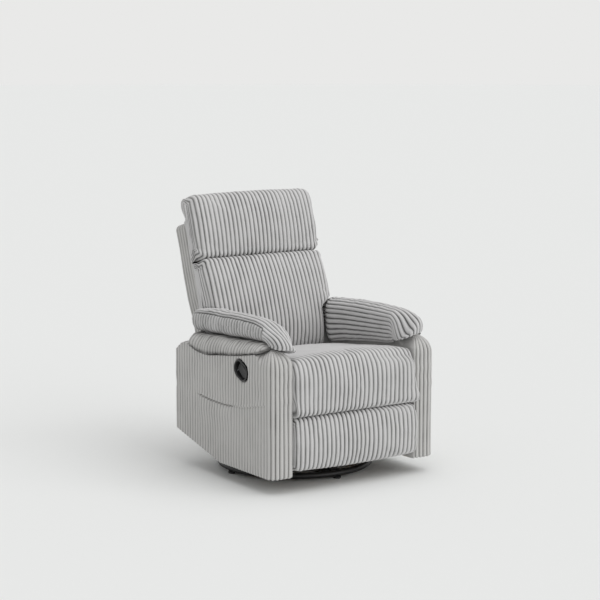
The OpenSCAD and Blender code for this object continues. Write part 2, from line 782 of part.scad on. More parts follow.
cup_l = bezel_l - 2 * bezel_rim;
cup_w = bezel_w - 2 * bezel_rim;
pin_y = cup_l / 2 - pin_inset;
module handle_cup() {
    color(black) on_left() handle_place() difference() {
        union() {
            stadium(bezel_l, bezel_w, fit, bezel_t);
            stadium(cup_l, cup_w, -cup_d, cup_d + bezel_t);
        }
        stadium(cup_l - 2 * cup_wall, cup_w - 2 * cup_wall, cup_wall - cup_d, cup_d + bezel_t);
        translate([-pin_depth, pin_y, -cup_w / 2 - over]) cylinder(r = pin_d / 2 + pivot_gap, h = cup_w + 2 * over);
    }
}

module handle_pin() {
    l = cup_w - 2 * cup_wall;
    color(zinc) on_left() handle_place() translate([-pin_depth, pin_y, -l / 2]) cylinder(d = pin_d, h = l);
}

// A lever plate in the cup, hinged near its upper end. Its lower end is pulled outwards.
module handle_paddle() {
    barrel_r = pin_d / 2 + 2;
    l = cup_l - 2 * cup_wall - finger_gap - paddle_gap;
    w = cup_w - 2 * cup_wall - 2 * paddle_gap;
    color(black) on_left() handle_place() difference() {
        union() {
            intersection() {
                translate([0, (finger_gap - paddle_gap) / 2, 0])
                    stadium(l, w, -pin_depth - paddle_t / 2, paddle_t);
                translate([-cup_d, -l, -w]) cube([cup_d, l + pin_y, 2 * w]);
            }
            translate([-pin_depth, pin_y, -w / 2 + paddle_gap]) cylinder(r = barrel_r, h = w - 2 * paddle_gap);
        }
        translate([-pin_depth, pin_y, -w]) cylinder(r = pin_d / 2 + pivot_gap, h = 2 * w);
    }
}

// A cloth bag behind the slit, open at its top
pouch_d = 16;
pouch_wall = 3;
module pocket_pouch() {
    x = half_w - cover_t - fit - pouch_d;
    l = slit_l + 20;
    low = slit_z - slit_h / 2 - pouch_h;
    color(fabric_side) on_left() translate([x, slit_rear + 10 - l, low]) difference() {
        cube([pouch_d, l, pouch_h + 2 * slit_h]);
        translate([pouch_wall, pouch_wall, pouch_wall])
            cube([pouch_d - 2 * pouch_wall, l - 2 * pouch_wall, pouch_h + 2 * slit_h]);
        translate([pouch_d - pouch_wall - over, -over, pouch_h])
            cube([pouch_d, l + 2 * over, pouch_h]);
    }
}

// Seat carrier

module swing_links(p, top) {
    color(zinc) both_sides() link([p, top], [p, top], outer_layer, swing_w);
}
module front_swing_links() { swing_links(swing_front, swing_front_top); }
module rear_swing_links() { swing_links(swing_rear, swing_rear_top); }

// A plate under each side rail: it holds the footrest's pivots in front and the back's hinge behind
plate_low = swing_front_top[1] - swing_w / 2;
hinge_eye_r = 16;
module seat_plate() {
    front = second_top[0] - link_w;
    ear = seat_rear + layer_gap;
    color(steel) difference() {
        side_plate(plate_x, steel_t) {
            polygon([[front, second_top[1] - link_w], [main_top[0] + link_w, plate_low], [ear + swing_w, plate_low],
                [back_hinge[0] + hinge_eye_r, back_hinge[1]], [back_hinge[0] - hinge_eye_r, back_hinge[1]],
                [ear, seat_frame_z - fit], [front, seat_frame_z - fit]]);
            translate(back_hinge) circle(r = hinge_eye_r);
        }
        for (p = [main_top, second_top, back_hinge, swing_front_top, swing_rear_top])
            cross_bar(p, rivet_d / 2 + pivot_gap, plate_x - over, steel_t + 2 * over);
    }
}
module right_seat_plate() { seat_plate(); }
module left_seat_plate() { on_left() seat_plate(); }

module seat_rivets() {
    color(zinc) both_sides() for (p = [main_top, second_top, swing_front_top, swing_rear_top])
        rivet(p, outer_layer, 2 * steel_t + layer_gap);
}

// Seat, on the carrier

// The rear rail stays above the tops of the swing links
rear_rail_h = seat_frame_z - swing_rear_top[1] - swing_w / 2 - 2 * layer_gap;
module seat_frame() {
    front = board_y + link_w / 3;
    l = seat_rear_rail_y + rail_w - front;
    side_x = plate_x + steel_t + fit / 2;
    color(timber) {
        both_sides() translate([side_x, front, seat_frame_z - rail_h]) cube([rail_w, l, rail_h]);
        translate([-side_x + fit, front, seat_frame_z - stretcher_t])
            cube([2 * (side_x - fit), stretcher_w, stretcher_t]);
        translate([-plate_x + fit, seat_rear_rail_y, seat_frame_z - rear_rail_h])
            cube([2 * (plate_x - fit), rail_w, rear_rail_h]);
    }
}

// A flat zigzag spring, drawn as a ribbon about its middle line
wave_pitch = 36;
wave_w = 60;
wire_w = 4;
arc_steps = 4;
function wave_middle(n) = [for (i = [0 : n - 1], k = [0 : arc_steps])
    let (s = i % 2 == 0 ? 1 : -1, a = -90 + 180 * k / arc_steps)
    [s * (wave_w / 2 - wave_pitch / 2 + wave_pitch / 2 * cos(a)), wave_pitch * (i + 0.5 + sin(a) / 2)]];
function ribbon_side(p, d) = [for (i = [0 : len(p) - 1])
    let (t = p[min(i + 1, len(p) - 1)] - p[max(i - 1, 0)], u = t / norm(t)) p[i] + d * [-u[1], u[0]]];
function backwards(p) = [for (i = [len(p) - 1 : -1 : 0]) p[i]];
module seat_springs() {
    front = board_y + link_w / 3 + stretcher_w + fit;
    l = seat_rear_rail_y - fit - front;
    waves = floor(l / wave_pitch);
    spare = (l - waves * wave_pitch) / 2;
    middle = concat([[0, -spare]], [[0, 0]], wave_middle(waves), [[0, waves * wave_pitch]],
        [[0, waves * wave_pitch + spare]]);
    step = 2 * plate_x / (spring_rows + 1);
    color(steel) for (i = [1 : spring_rows])
        translate([i * step - plate_x, front + spare, seat_frame_z - wire_w])
            linear_extrude(wire_w - fit)
                polygon(concat(ribbon_side(middle, wire_w / 2), backwards(ribbon_side(middle, -wire_w / 2))));
}

// Shares of the cushion's depth, from its front, and of its height, from the frame up
seat_shares = [
    [1, 0.12], [0.992, 0.54], [0.96, 0.71], [0.84, 0.775], [0.6, 0.845], [0.35, 0.925], [0.15, 0.985],
    [0.08, 0.995], [0.035, 0.92], [0.006, 0.72], [0, 0.42], [0.003, 0.12], [0.018, -0.015], [0.05, -0.05],
    [0.11, -0.05]];
seat_rest_shares = [[0.13, -0.05], [0.137, 0], [1, 0]];
seat_crown = 14;
seat_edge = 24;
hold_h = 40;
module seat_cushion() {
    low = seat_frame_z + fit;
    outline = [for (q = concat(curve(seat_shares, 2), seat_rest_shares))
        [-seat_front + q[0] * (seat_front + seat_rear), low + q[1] * (seat_z - low)]];
    hold = [for (q = outline) max(0, min(1, (q[1] - low) / hold_h))];
    color(fabric) cushion(outline, hold, moving_w, seat_crown, seat_edge);
}

module back_hinge_pins() {
    color(zinc) both_sides() {
        cross_bar(back_hinge, rivet_d / 2, outer_layer - fit, plate_x + steel_t + layer_gap - outer_layer);
        cross_bar(back_hinge, rivet_head_r, outer_layer - fit - rivet_head_t, rivet_head_t);
    }
}

// Back, drawn upright about its hinge and then leaned

back_front = 4;     // how far the outer back's rim stands ahead of the hinge line
upright_w = 26;
upright_y = 8;
back_low = -50;
module leaned() {
    translate([0, back_hinge[0], back_hinge[1]]) rotate([-back_lean, 0, 0]) children();
}

bracket_x = plate_x - layer_gap / 2 - steel_t;
module back_frame() {
    low = back_low + shell_t + fit;
    high = shell_h - shell_t - fit;
    x = bracket_x - fit - upright_w;
    color(timber) leaned() {
        both_sides() translate([x, upright_y, low]) cube([upright_w, upright_w, high - low]);
        for (z = [low, (low + high) / 2, high - 2 * upright_w])
            translate([-x + fit, upright_y, z]) cube([2 * (x - fit), upright_w, 2 * upright_w]);
    }
}

bracket_h = 190;
module back_bracket() {
    color(steel) leaned() difference() {
        side_plate(bracket_x, steel_t) {
            circle(r = hinge_eye_r);
            translate([0, -hinge_eye_r]) square([upright_y + upright_w, hinge_eye_r + bracket_h]);
        }
        cross_bar([0, 0], rivet_d / 2 + pivot_gap, bracket_x - over, steel_t + 2 * over);
    }
}
module right_back_bracket() { back_bracket(); }
module left_back_bracket() { on_left() back_bracket(); }

// The outer back: an upholstered tray over the frame, open to the front and at its foot
shell_corner_r = 30;
module back_shell() {
    color(fabric) leaned() difference() {
        translate([0, shell_d - back_front, 0]) rotate([90, 0, 0]) linear_extrude(shell_d) difference() {
            translate([-moving_w, back_low]) square([2 * moving_w, shell_h - back_low]);
            both_sides() translate([moving_w - shell_corner_r, shell_h - shell_corner_r]) difference() {
                square(shell_corner_r + over);
                circle(r = shell_corner_r);
            }
        }
        translate([-moving_w + shell_t, -back_front - over, back_low - over])
            cube([2 * (moving_w - shell_t), shell_d - shell_t + over, shell_h - shell_t - back_low + over]);
    }
}

// Shares of each back cushion's depth, ahead of the outer back, and of its height
lower_rest_shares = [[0, 0.01], [0, 0.985]];
lower_shares = [
    [0.2, 0.997], [0.55, 1], [0.74, 0.985], [0.86, 0.93], [0.955, 0.78], [1, 0.5], [0.965, 0.29],
    [0.78, 0.12], [0.5, 0.035], [0.2, 0.002]];
head_rest_shares = [[0, 0.01], [0, 0.61]];
head_shares = [
    [-0.03, 0.68], [-0.06, 0.83], [0.06, 0.955], [0.41, 1], [0.75, 0.96], [0.93, 0.85], [1, 0.55],
    [0.96, 0.24], [0.9, 0.08], [0.78, 0.015], [0.45, 0]];
back_crown = 10;
back_edge = 26;
module back_cushion(rest, shares, depth, low, high, half) {
    front = -back_front - fit;
    points = concat(rest, curve(shares, 3));
    outline = [for (q = points) [front - q[0] * (depth + front), low + q[1] * (high - low)]];
    hold = [for (q = points) max(0, min(1, 4 * q[0] + (q[1] > head_rest_shares[1][1] ? 0.4 : 0)))];
    leaned() cushion(outline, [for (i = [0 : len(hold) - 1]) i < len(rest) ? 0 : hold[i]],
        half, back_crown, back_edge);
}
lower_pillow_low = 12;
module lower_back_pillow() {
    color(fabric) back_cushion(lower_rest_shares, lower_shares, lumbar_d, lower_pillow_low, back_seam, moving_w);
}
module headrest_pillow() {
    color(fabric) back_cushion(head_rest_shares, head_shares, head_d, back_seam + soft_gap, back_h,
        moving_w + head_bulge);
}

// Footrest linkage, two sides alike

module main_rear_links() {
    color(zinc) both_sides() link([main_top, knee], [main_top, knee], outer_layer, link_w);
}

module second_rear_links() {
    color(zinc) both_sides()
        link([second_top, second_knee], [second_top, second_knee, control_knee], outer_layer, link_w);
}

module front_links() {
    color(zinc) both_sides()
        link([knee, second_knee, foot_pivot], [knee, second_knee, foot_pivot], inner_layer, link_w);
}

module front_link_rivets() {
    color(steel) both_sides() for (p = [knee, second_knee]) rivet(p, inner_layer, 2 * steel_t + layer_gap);
}

module control_links() {
    color(zinc) both_sides()
        link([control_knee, control_foot], [control_knee, control_foot], inner_layer, link_w);
}

module control_rivets() {
    color(steel) both_sides() rivet(control_knee, inner_layer, 2 * steel_t + layer_gap);
}

// Each bracket has a flange screwed to the board's back
bracket_flange_w = 26;
module footrest_brackets() {
    flange_low = foot_pivot[1] - control_arm;
    flange_high = control_foot[1] + link_w;
    color(steel) both_sides() {
        difference() {
            side_plate(outer_layer, steel_t) {
                for (p = [foot_pivot, control_foot]) link_outline(p, [board_y + link_w / 2, p[1]], link_w);
                link_outline(foot_pivot, control_foot, link_w);
                translate([board_y + fit, flange_low]) square([link_w / 2, flange_high - flange_low]);
            }
            for (p = [foot_pivot, control_foot])
                cross_bar(p, rivet_d / 2 + pivot_gap, outer_layer - over, steel_t + 2 * over);
            translate([outer_layer - over, board_y - link_w, flange_low - over])
                cube([steel_t + 2 * over, link_w + fit, flange_high - flange_low + 2 * over]);
        }
        translate([outer_layer + steel_t - bracket_flange_w, board_y + fit, flange_low])
            cube([bracket_flange_w, steel_t, flange_high - flange_low]);
    }
}

module footrest_rivets() {
    color(steel) both_sides() for (p = [foot_pivot, control_foot])
        rivet(p, inner_layer, 2 * steel_t + layer_gap);
}

board_inset = 6;
module footrest_board() {
    color(timber) translate([-moving_w + board_inset, board_y - board_t, pad_low_z + board_inset])
        cube([2 * (moving_w - board_inset), board_t, pad_top_z - pad_low_z - 2 * board_inset]);
}

// Shares of the pad's depth ahead of its board, and of its height
pad_rest_shares = [[0, 0.02], [0, 0.985]];
pad_shares = [
    [0.12, 0.995], [0.45, 1], [0.75, 0.96], [0.93, 0.86], [1, 0.62], [1, 0.38], [0.96, 0.14], [0.82, 0.03],
    [0.5, 0], [0.12, 0.005]];
pad_crown = 8;
pad_edge = 18;
module footrest_pad() {
    back = board_y - board_t - fit;
    depth = pad_front + back;
    points = concat(pad_rest_shares, curve(pad_shares, 3));
    outline = [for (q = points) [back - q[0] * depth, pad_low_z + q[1] * (pad_top_z - pad_low_z)]];
    hold = [for (q = points) max(0, min(1, 4 * q[0]))];
    color(fabric) cushion(outline, hold, moving_w, pad_crown, pad_edge);
}

base_ring();
base_cross_bars();
foot_glides();
lower_swivel_plate();
bearing_balls();
king_bolt();
lower_plate_screws();
upper_swivel_plate();
upper_plate_screws();
rocker_cross_rails();
left_rocker_track();
right_rocker_track();
lower_spring_plates();
rocker_springs();
upper_spring_plates();
left_rocker_cam();
right_rocker_cam();
left_base_rail();
right_base_rail();
front_cross_tube();
rear_cross_tube();
arm_bolts();
swing_base_rivets();
left_arm_frame();
right_arm_frame();
left_arm_cover();
right_arm_cover();
left_arm_flange();
right_arm_flange();
left_arm_pillow();
right_arm_pillow();
handle_cup();
handle_pin();
handle_paddle();
pocket_pouch();
front_swing_links();
rear_swing_links();
left_seat_plate();
right_seat_plate();
seat_rivets();
seat_frame();
seat_springs();
seat_cushion();
back_hinge_pins();
back_frame();
left_back_bracket();
right_back_bracket();
back_shell();
lower_back_pillow();
headrest_pillow();
main_rear_links();
second_rear_links();
front_links();
front_link_rivets();
control_links();
control_rivets();
footrest_brackets();
footrest_rivets();
footrest_board();
footrest_pad();
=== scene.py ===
"""Looks of a swivel rocker recliner in wide-wale corduroy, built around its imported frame.

Sizes are in millimetres in the frame's own axes (front towards -Y) until a mesh is made.
"""

import json
import logging
import math
from dataclasses import dataclass
from enum import Enum
from typing import Callable, Sequence

import bpy
import numpy as np
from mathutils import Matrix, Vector

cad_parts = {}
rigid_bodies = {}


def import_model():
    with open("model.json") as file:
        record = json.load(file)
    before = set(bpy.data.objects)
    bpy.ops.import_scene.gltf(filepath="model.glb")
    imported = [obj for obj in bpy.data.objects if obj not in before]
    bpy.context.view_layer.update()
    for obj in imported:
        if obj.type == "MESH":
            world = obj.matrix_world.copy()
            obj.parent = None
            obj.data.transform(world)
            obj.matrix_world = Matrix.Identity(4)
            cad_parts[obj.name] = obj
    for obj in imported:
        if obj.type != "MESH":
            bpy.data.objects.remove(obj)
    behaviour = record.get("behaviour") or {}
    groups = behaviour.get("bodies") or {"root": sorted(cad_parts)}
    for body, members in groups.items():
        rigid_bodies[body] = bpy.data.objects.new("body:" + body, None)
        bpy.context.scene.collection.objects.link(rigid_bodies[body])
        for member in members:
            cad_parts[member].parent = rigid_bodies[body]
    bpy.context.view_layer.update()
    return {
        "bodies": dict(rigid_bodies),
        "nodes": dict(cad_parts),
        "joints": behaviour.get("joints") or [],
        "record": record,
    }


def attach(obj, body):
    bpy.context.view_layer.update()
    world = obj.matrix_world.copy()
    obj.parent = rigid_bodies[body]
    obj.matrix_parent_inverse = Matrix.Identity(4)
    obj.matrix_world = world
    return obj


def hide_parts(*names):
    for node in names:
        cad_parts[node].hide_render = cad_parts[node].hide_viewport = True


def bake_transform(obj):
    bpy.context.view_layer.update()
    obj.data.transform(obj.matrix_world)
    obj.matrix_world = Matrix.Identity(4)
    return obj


MM = 0.001
# Pitch of the corduroy's wales in mm, and the mesh's steps over each of them
WALE = 19.0
STEPS_PER_WALE = 8
# Share of the simulated swell that the batting leaves, and the most that a cover draws in, mm
FILL_EASE = 0.36
MOST_SINK = 4.0
# Stiff, hardly stretching upholstery cloth over a filling that presses on it from inside
CLOTH_SETTINGS = {
    "quality": 5, "mass": 0.3, "tension_stiffness": 25, "compression_stiffness": 15, "shear_stiffness": 8,
    "bending_stiffness": 1.5, "use_pressure": True, "uniform_pressure_force": 4.0, "shrink_min": -0.015,
    "vertex_group_mass": "sewn",
}
CLOTH_FRAMES = 20
# Points closer than this, in mm, are one point of a mesh
WELD = 0.05
Array = np.ndarray
Socket = bpy.types.NodeSocket
# A number for each place in a cushion's side view, and for each point in space
SideField = Callable[[Array, Array], Array]
SpaceField = Callable[[Array, Array, Array], Array]
log = logging.getLogger("recliner")


class Side(Enum):
    """Which side of the chair, as the sign of X. The photograph's left is LEFT."""

    LEFT = -1
    RIGHT = 1

    @property
    def word(self) -> str:
        """The side's word in node names."""
        return self.name.lower()


class Edge(Enum):
    """How a grid's second direction ends."""

    OPEN = "open"
    CLOSED = "closed"


# Numbers and curves


def smoothstep(value: Array, low: float, high: float) -> Array:
    """Share from 0 at low to 1 at high, with soft ends. Low may be above high."""
    t = np.clip((np.asarray(value, float) - low) / (high - low), 0.0, 1.0)
    return t * t * (3.0 - 2.0 * t)


def catmull(table: Array, where: Array) -> Array:
    """Smooth values between a table's rows.

    Args:
        table: rows of numbers, evenly spaced.
        where: places to read, in rows from 0.

    Returns:
        One row for each place.
    """
    table = np.asarray(table, float)
    last = len(table) - 1
    i = np.clip(np.floor(where).astype(int), 0, max(last - 1, 0))
    t = (where - i).reshape((-1,) + (1,) * (table.ndim - 1))
    a, b = table[np.maximum(i - 1, 0)], table[i]
    c, d = table[np.minimum(i + 1, last)], table[np.minimum(i + 2, last)]
    square, cube = 2 * a - 5 * b + 4 * c - d, 3 * b - a - 3 * c + d
    return 0.5 * (2 * b + (c - a) * t + square * t**2 + cube * t**3)


def curve(points: Sequence[Sequence[float]], steps: int = 8) -> Array:
    """A smooth open line through points, with steps between neighbours."""
    table = np.asarray(points, float)
    return catmull(table, np.linspace(0, len(table) - 1, (len(table) - 1) * steps + 1))


def lengths_of(line: Array) -> Array:
    """Distance of each point of a line from its start, along the line."""
    return np.concatenate([[0.0], np.cumsum(np.linalg.norm(np.diff(line, axis=0), axis=1))])


def at_lengths(line: Array, where: Array) -> Array:
    """Points of a line at given distances from its start."""
    along = lengths_of(line)
    return np.stack([np.interp(where, along, line[:, k]) for k in range(line.shape[1])], axis=1)


def evenly(line: Array, count: int, closed: bool = False) -> Array:
    """The same line with evenly spaced points.

    Args:
        line: points in order.
        count: number of points wanted.
        closed: whether the line runs back to its start, which isn't repeated.

    Returns:
        The points.
    """
    loop = np.vstack([line, line[:1]]) if closed else line
    total = lengths_of(loop)[-1]
    return at_lengths(loop, np.linspace(0, total, count, endpoint=not closed))


def soft_noise(shape: tuple[int, int], cells: tuple[int, int], seed: int) -> Array:
    """Seeded smooth noise over a grid, from about -1 to 1."""
    rough = np.random.default_rng(seed).uniform(-1, 1, (cells[0] + 1, cells[1] + 1))
    rows = catmull(rough, np.linspace(0, cells[0], shape[0]))
    return catmull(rows.T, np.linspace(0, cells[1], shape[1])).T


def grid_normals(grid: Array, edge: Edge) -> Array:
    """Unit normals of a grid of points, pointing away from its middle."""
    du = np.gradient(grid, axis=0)
    if edge is Edge.CLOSED:
        dv = (np.roll(grid, -1, axis=1) - np.roll(grid, 1, axis=1)) / 2
    else:
        dv = np.gradient(grid, axis=1)
    normal = np.cross(du, dv)
    size = np.linalg.norm(normal, axis=2, keepdims=True)
    normal = normal / np.maximum(size, 1e-9)
    outward = (normal * (grid - grid.mean(axis=(0, 1)))).sum(axis=2)
    return normal if outward.mean() >= 0 else -normal


# Meshes


def welded(grid: Array, edge: Edge) -> tuple[Array, list[list[int]], Array]:
    """Points, faces and each grid point's index, where points that meet are one."""
    nu, nv = grid.shape[:2]
    flat = grid.reshape(-1, 3)
    cells = np.round(flat / WELD).astype(np.int64)
    _, first, inverse = np.unique(cells, axis=0, return_index=True, return_inverse=True)
    inverse = inverse.reshape(-1)
    index = inverse.reshape(nu, nv)
    right = np.roll(index, -1, axis=1) if edge is Edge.CLOSED else index[:, 1:]
    left = index if edge is Edge.CLOSED else index[:, :-1]
    quads = np.stack([left[:-1], left[1:], right[1:], right[:-1]], axis=2).reshape(-1, 4)
    corners = (list(dict.fromkeys(quad)) for quad in quads.tolist())
    faces = [face for face in corners if len(face) > 2]
    return flat[first], faces, inverse


def mesh_piece(
    name: str, grid: Array, edge: Edge, values: dict[str, Array] | None = None
) -> bpy.types.Object:
    """A smooth-shaded object from a grid of points in millimetres.

    Args:
        name: the object's name.
        grid: (u, v, 3) points.
        edge: whether v closes on itself.
        values: numbers for the material, one for each grid point.

    Returns:
        The object, linked to the scene.
    """
    points, faces, inverse = welded(grid, edge)
    mesh = bpy.data.meshes.new(name)
    mesh.from_pydata((points * MM).tolist(), [], faces)
    mesh.validate()
    mesh.polygons.foreach_set("use_smooth", np.ones(len(mesh.polygons), bool))
    for key, numbers in (values or {}).items():
        kept = np.zeros(len(points))
        kept[inverse] = np.asarray(numbers, float).reshape(-1)
        if len(mesh.vertices) == len(points):
            mesh.attributes.new(key, "FLOAT", "POINT").data.foreach_set("value", kept)
    mesh.update()
    piece = bpy.data.objects.new(name, mesh)
    bpy.context.scene.collection.objects.link(piece)
    return piece


def joined(name: str, pieces: list[bpy.types.Object]) -> bpy.types.Object:
    """Several objects as one, under the first one's place and a new name."""
    first = pieces[0]
    with bpy.context.temp_override(
        active_object=first, object=first, selected_objects=pieces, selected_editable_objects=pieces
    ):
        bpy.ops.object.join()
    first.name = name
    return first


def capped(grid: Array) -> Array:
    """A closed tube's grid with both its ends drawn together in their middle."""
    lid = np.repeat(grid.mean(axis=1, keepdims=True), grid.shape[1], axis=1)
    return np.concatenate([lid[:1], grid, lid[-1:]], axis=0)


def plumped(grid: Array, held: Array, cap: float) -> Array:
    """How a stuffed cover swells, from a short cloth simulation on its coarse grid.

    Args:
        grid: coarse closed grid of the slack cover.
        held: 0 to 1 for each point, 1 where sewn or resting.
        cap: most that a point may move, mm.

    Returns:
        How far each point moves, mm.
    """
    points, faces, inverse = welded(grid, Edge.CLOSED)
    fan = np.array([points[f[:3]] for f in faces])
    if np.einsum("ij,ij->i", fan[:, 0], np.cross(fan[:, 1], fan[:, 2])).sum() < 0:
        faces = [f[::-1] for f in faces]
    mesh = bpy.data.meshes.new("slack_cover")
    mesh.from_pydata((points * MM).tolist(), [], faces)
    mesh.validate()
    piece = bpy.data.objects.new("slack_cover", mesh)
    bpy.context.scene.collection.objects.link(piece)
    pins = np.zeros(len(points))
    np.maximum.at(pins, inverse, held.reshape(-1))
    group = piece.vertex_groups.new(name="sewn")
    for level in (0.25, 0.5, 0.75, 1.0):
        chosen = np.nonzero((pins > level - 0.125) & (pins <= level + 0.125))[0]
        if len(chosen):
            group.add(chosen.tolist(), level, "REPLACE")
    cloth = piece.modifiers.new("filling", "CLOTH")
    for key, value in CLOTH_SETTINGS.items():
        setattr(cloth.settings, key, value)
    cloth.settings.effector_weights.gravity = 0.0
    cloth.collision_settings.use_collision = False
    scene = bpy.context.scene
    for frame in range(1, CLOTH_FRAMES + 1):
        scene.frame_set(frame)
    puffed = piece.evaluated_get(bpy.context.evaluated_depsgraph_get())
    moved = np.zeros(len(puffed.data.vertices) * 3, np.float32)
    puffed.data.vertices.foreach_get("co", moved)
    shift = moved.reshape(-1, 3).astype(float) / MM - points
    scene.frame_set(1)
    bpy.data.objects.remove(piece)
    bpy.data.meshes.remove(mesh)
    size = np.linalg.norm(shift, axis=1, keepdims=True)
    shift *= np.minimum(1.0, cap / np.maximum(size, 1e-6))
    swollen = shift[inverse].reshape(grid.shape)
    normal = grid_normals(grid, Edge.CLOSED)
    out = (swollen * normal).sum(axis=2, keepdims=True)
    # The stuffing stops the cover from drawing in, and its batting evens out most of the swell
    return FILL_EASE * (swollen - normal * (out - np.maximum(out, -MOST_SINK)))


def spread(
    coarse: Array, u: Array, v: Array, fine_u: Array, fine_v: Array
) -> Array:
    """A coarse grid's values read smoothly on a finer grid, closed in v.

    Args:
        coarse: (u, v, 3) values.
        u: the coarse rows' places, rising.
        v: the coarse columns' places, rising from 0, with 1 as the round.
        fine_u: the wanted rows' places.
        fine_v: the wanted columns' places.

    Returns:
        The finer values.
    """
    rows = catmull(coarse, np.interp(fine_u, u, np.arange(len(u))))
    wrapped = np.concatenate([rows[:, -2:], rows, rows[:, :3]], axis=1)
    place = np.interp(fine_v, np.append(v, 1.0), np.arange(len(v) + 1)) + 2
    return catmull(wrapped.transpose(1, 0, 2), place).transpose(1, 0, 2)


def rib_height(phase: Array) -> Array:
    """Height of a wale over one pitch: a round cord with a narrow valley, 0 to 1."""
    t = 2.0 * (phase - np.floor(phase)) - 1.0
    return np.power(np.maximum(0.0, 1.0 - np.abs(t) ** 2.2), 0.85)


# Finishes


def linear(hex_colour: str) -> tuple[float, float, float, float]:
    """Linear colour of an sRGB hex value such as "c8c6c2"."""
    parts = [int(hex_colour[i : i + 2], 16) / 255 for i in (0, 2, 4)]
    red, green, blue = (c / 12.92 if c <= 0.04045 else ((c + 0.055) / 1.055) ** 2.4 for c in parts)
    return (red, green, blue, 1.0)


def add_node(
    tree: bpy.types.NodeTree, kind: str, settings: dict | None = None, links: dict | None = None
) -> bpy.types.Node:
    """Adds one node, sets its properties and inputs, and links its inputs.

    Args:
        tree: the material's node tree.
        kind: Blender's node type.
        settings: property or input names with their values.
        links: input names or places with the sockets that feed them.

    Returns:
        The node.
    """
    node = tree.nodes.new(kind)
    for key, value in (settings or {}).items():
        if isinstance(key, int) or key in node.inputs:
            node.inputs[key].default_value = value
        else:
            setattr(node, key, value)
    for key, socket in (links or {}).items():
        tree.links.new(socket, node.inputs[key])
    return node


class Skin:
    """A material being built: one shader, fed by patterns in the piece's own space."""

    def __init__(self, name: str, settings: dict) -> None:
        """Starts the material.

        Args:
            name: its name.
            settings: the shader's inputs that are the same everywhere, with their values.
        """
        self.material = bpy.data.materials.new(name)
        self.material.use_nodes = True
        self.tree = self.material.node_tree
        self.tree.nodes.clear()
        self.shader = add_node(self.tree, "ShaderNodeBsdfPrincipled", settings)
        add_node(self.tree, "ShaderNodeOutputMaterial", links={"Surface": self.shader.outputs["BSDF"]})
        self.place = add_node(self.tree, "ShaderNodeTexCoord").outputs["Object"]

    def noise(
        self, per_metre: float, detail: float, roughness: float = 0.5, along: float = 1.0
    ) -> Socket:
        """A cloudy pattern with so many cells in a metre, stretched along Y where along is below 1."""
        place = self.place
        if along != 1.0:
            stretch = {"Scale": (1.0, along, 1.0)}
            place = add_node(self.tree, "ShaderNodeMapping", stretch, {"Vector": place}).outputs["Vector"]
        settings = {"Scale": per_metre, "Detail": detail, "Roughness": roughness}
        return add_node(self.tree, "ShaderNodeTexNoise", settings, {"Vector": place}).outputs["Fac"]

    def ranged(
        self, value: Socket, to: tuple[float, float], start: tuple[float, float] = (0.0, 1.0)
    ) -> Socket:
        """A value moved from the start range to another, and kept inside it."""
        settings = {"From Min": start[0], "From Max": start[1], "To Min": to[0], "To Max": to[1]}
        return add_node(self.tree, "ShaderNodeMapRange", settings, {"Value": value}).outputs["Result"]

    def maths(
        self, operation: str, first: Socket, second: Socket, clamp: bool = False
    ) -> Socket:
        """Two values added, multiplied or compared, kept from 0 to 1 where clamp is set."""
        settings = {"operation": operation, "use_clamp": clamp}
        return add_node(self.tree, "ShaderNodeMath", settings, {0: first, 1: second}).outputs["Value"]

    def colour(self, factor: Socket, stops: Sequence[tuple[float, str]]) -> None:
        """Colours the shader from a factor, between stops of place and hex colour."""
        node = add_node(self.tree, "ShaderNodeValToRGB", links={"Fac": factor})
        ramp = node.color_ramp
        while len(ramp.elements) < len(stops):
            ramp.elements.new(0.5)
        for element, (place, colour) in zip(ramp.elements, stops):
            element.position = place
            element.color = linear(colour)
        self.tree.links.new(node.outputs["Color"], self.shader.inputs["Base Color"])

    def rough(self, value: Socket, low: float, high: float) -> None:
        """Varies the shader's roughness between two values."""
        self.tree.links.new(self.ranged(value, (low, high)), self.shader.inputs["Roughness"])

    def bump(self, height: Socket, strength: float, deep_mm: float) -> None:
        """Gives the shader a fine relief."""
        settings = {"Strength": strength, "Distance": deep_mm * MM}
        node = add_node(self.tree, "ShaderNodeBump", settings, {"Height": height})
        self.tree.links.new(node.outputs["Normal"], self.shader.inputs["Normal"])


@dataclass(frozen=True)
class PlushCorduroy:
    """Polyester wide-wale corduroy, knitted and brushed: soft crests, and darker, denser valleys whose dark
    colour is partly painted shade.
    """

    name: str
    valley: str
    flank: str
    crest: str
    nap_mm: float = 85.0
    tuft_mm: float = 2.2

    def make(self) -> bpy.types.Material:
        """The material, coloured by the height of the wales that each mesh carries, with painted shade in the
        valleys.
        """
        # Brushed pile scatters light at its rim, so it has a broad sheen and hardly any gloss
        skin = Skin(
            self.name,
            {"Roughness": 0.93, "Sheen Weight": 0.22, "Sheen Roughness": 0.45, "Specular IOR Level": 0.18},
        )
        rib = add_node(skin.tree, "ShaderNodeAttribute", {"attribute_name": "rib"}).outputs["Fac"]
        tuft = skin.noise(1000 / self.tuft_mm, 3.0, 0.7)
        # Pile that leans one way or the other reads a little lighter or darker over a hand's width
        lean = skin.ranged(skin.noise(1000 / self.nap_mm, 2.0), (-0.1, 0.1), (0.25, 0.75))
        fleck = skin.ranged(tuft, (-0.13, 0.13), (0.2, 0.8))
        level = skin.maths("ADD", rib, skin.maths("ADD", lean, fleck), clamp=True)
        # The ramp paints the valleys dark: partly the pile's own tone, partly painted shade
        skin.colour(level, [(0.0, self.valley), (0.42, self.flank), (0.9, self.crest)])
        skin.bump(tuft, 0.5, 1.2)
        return skin.material


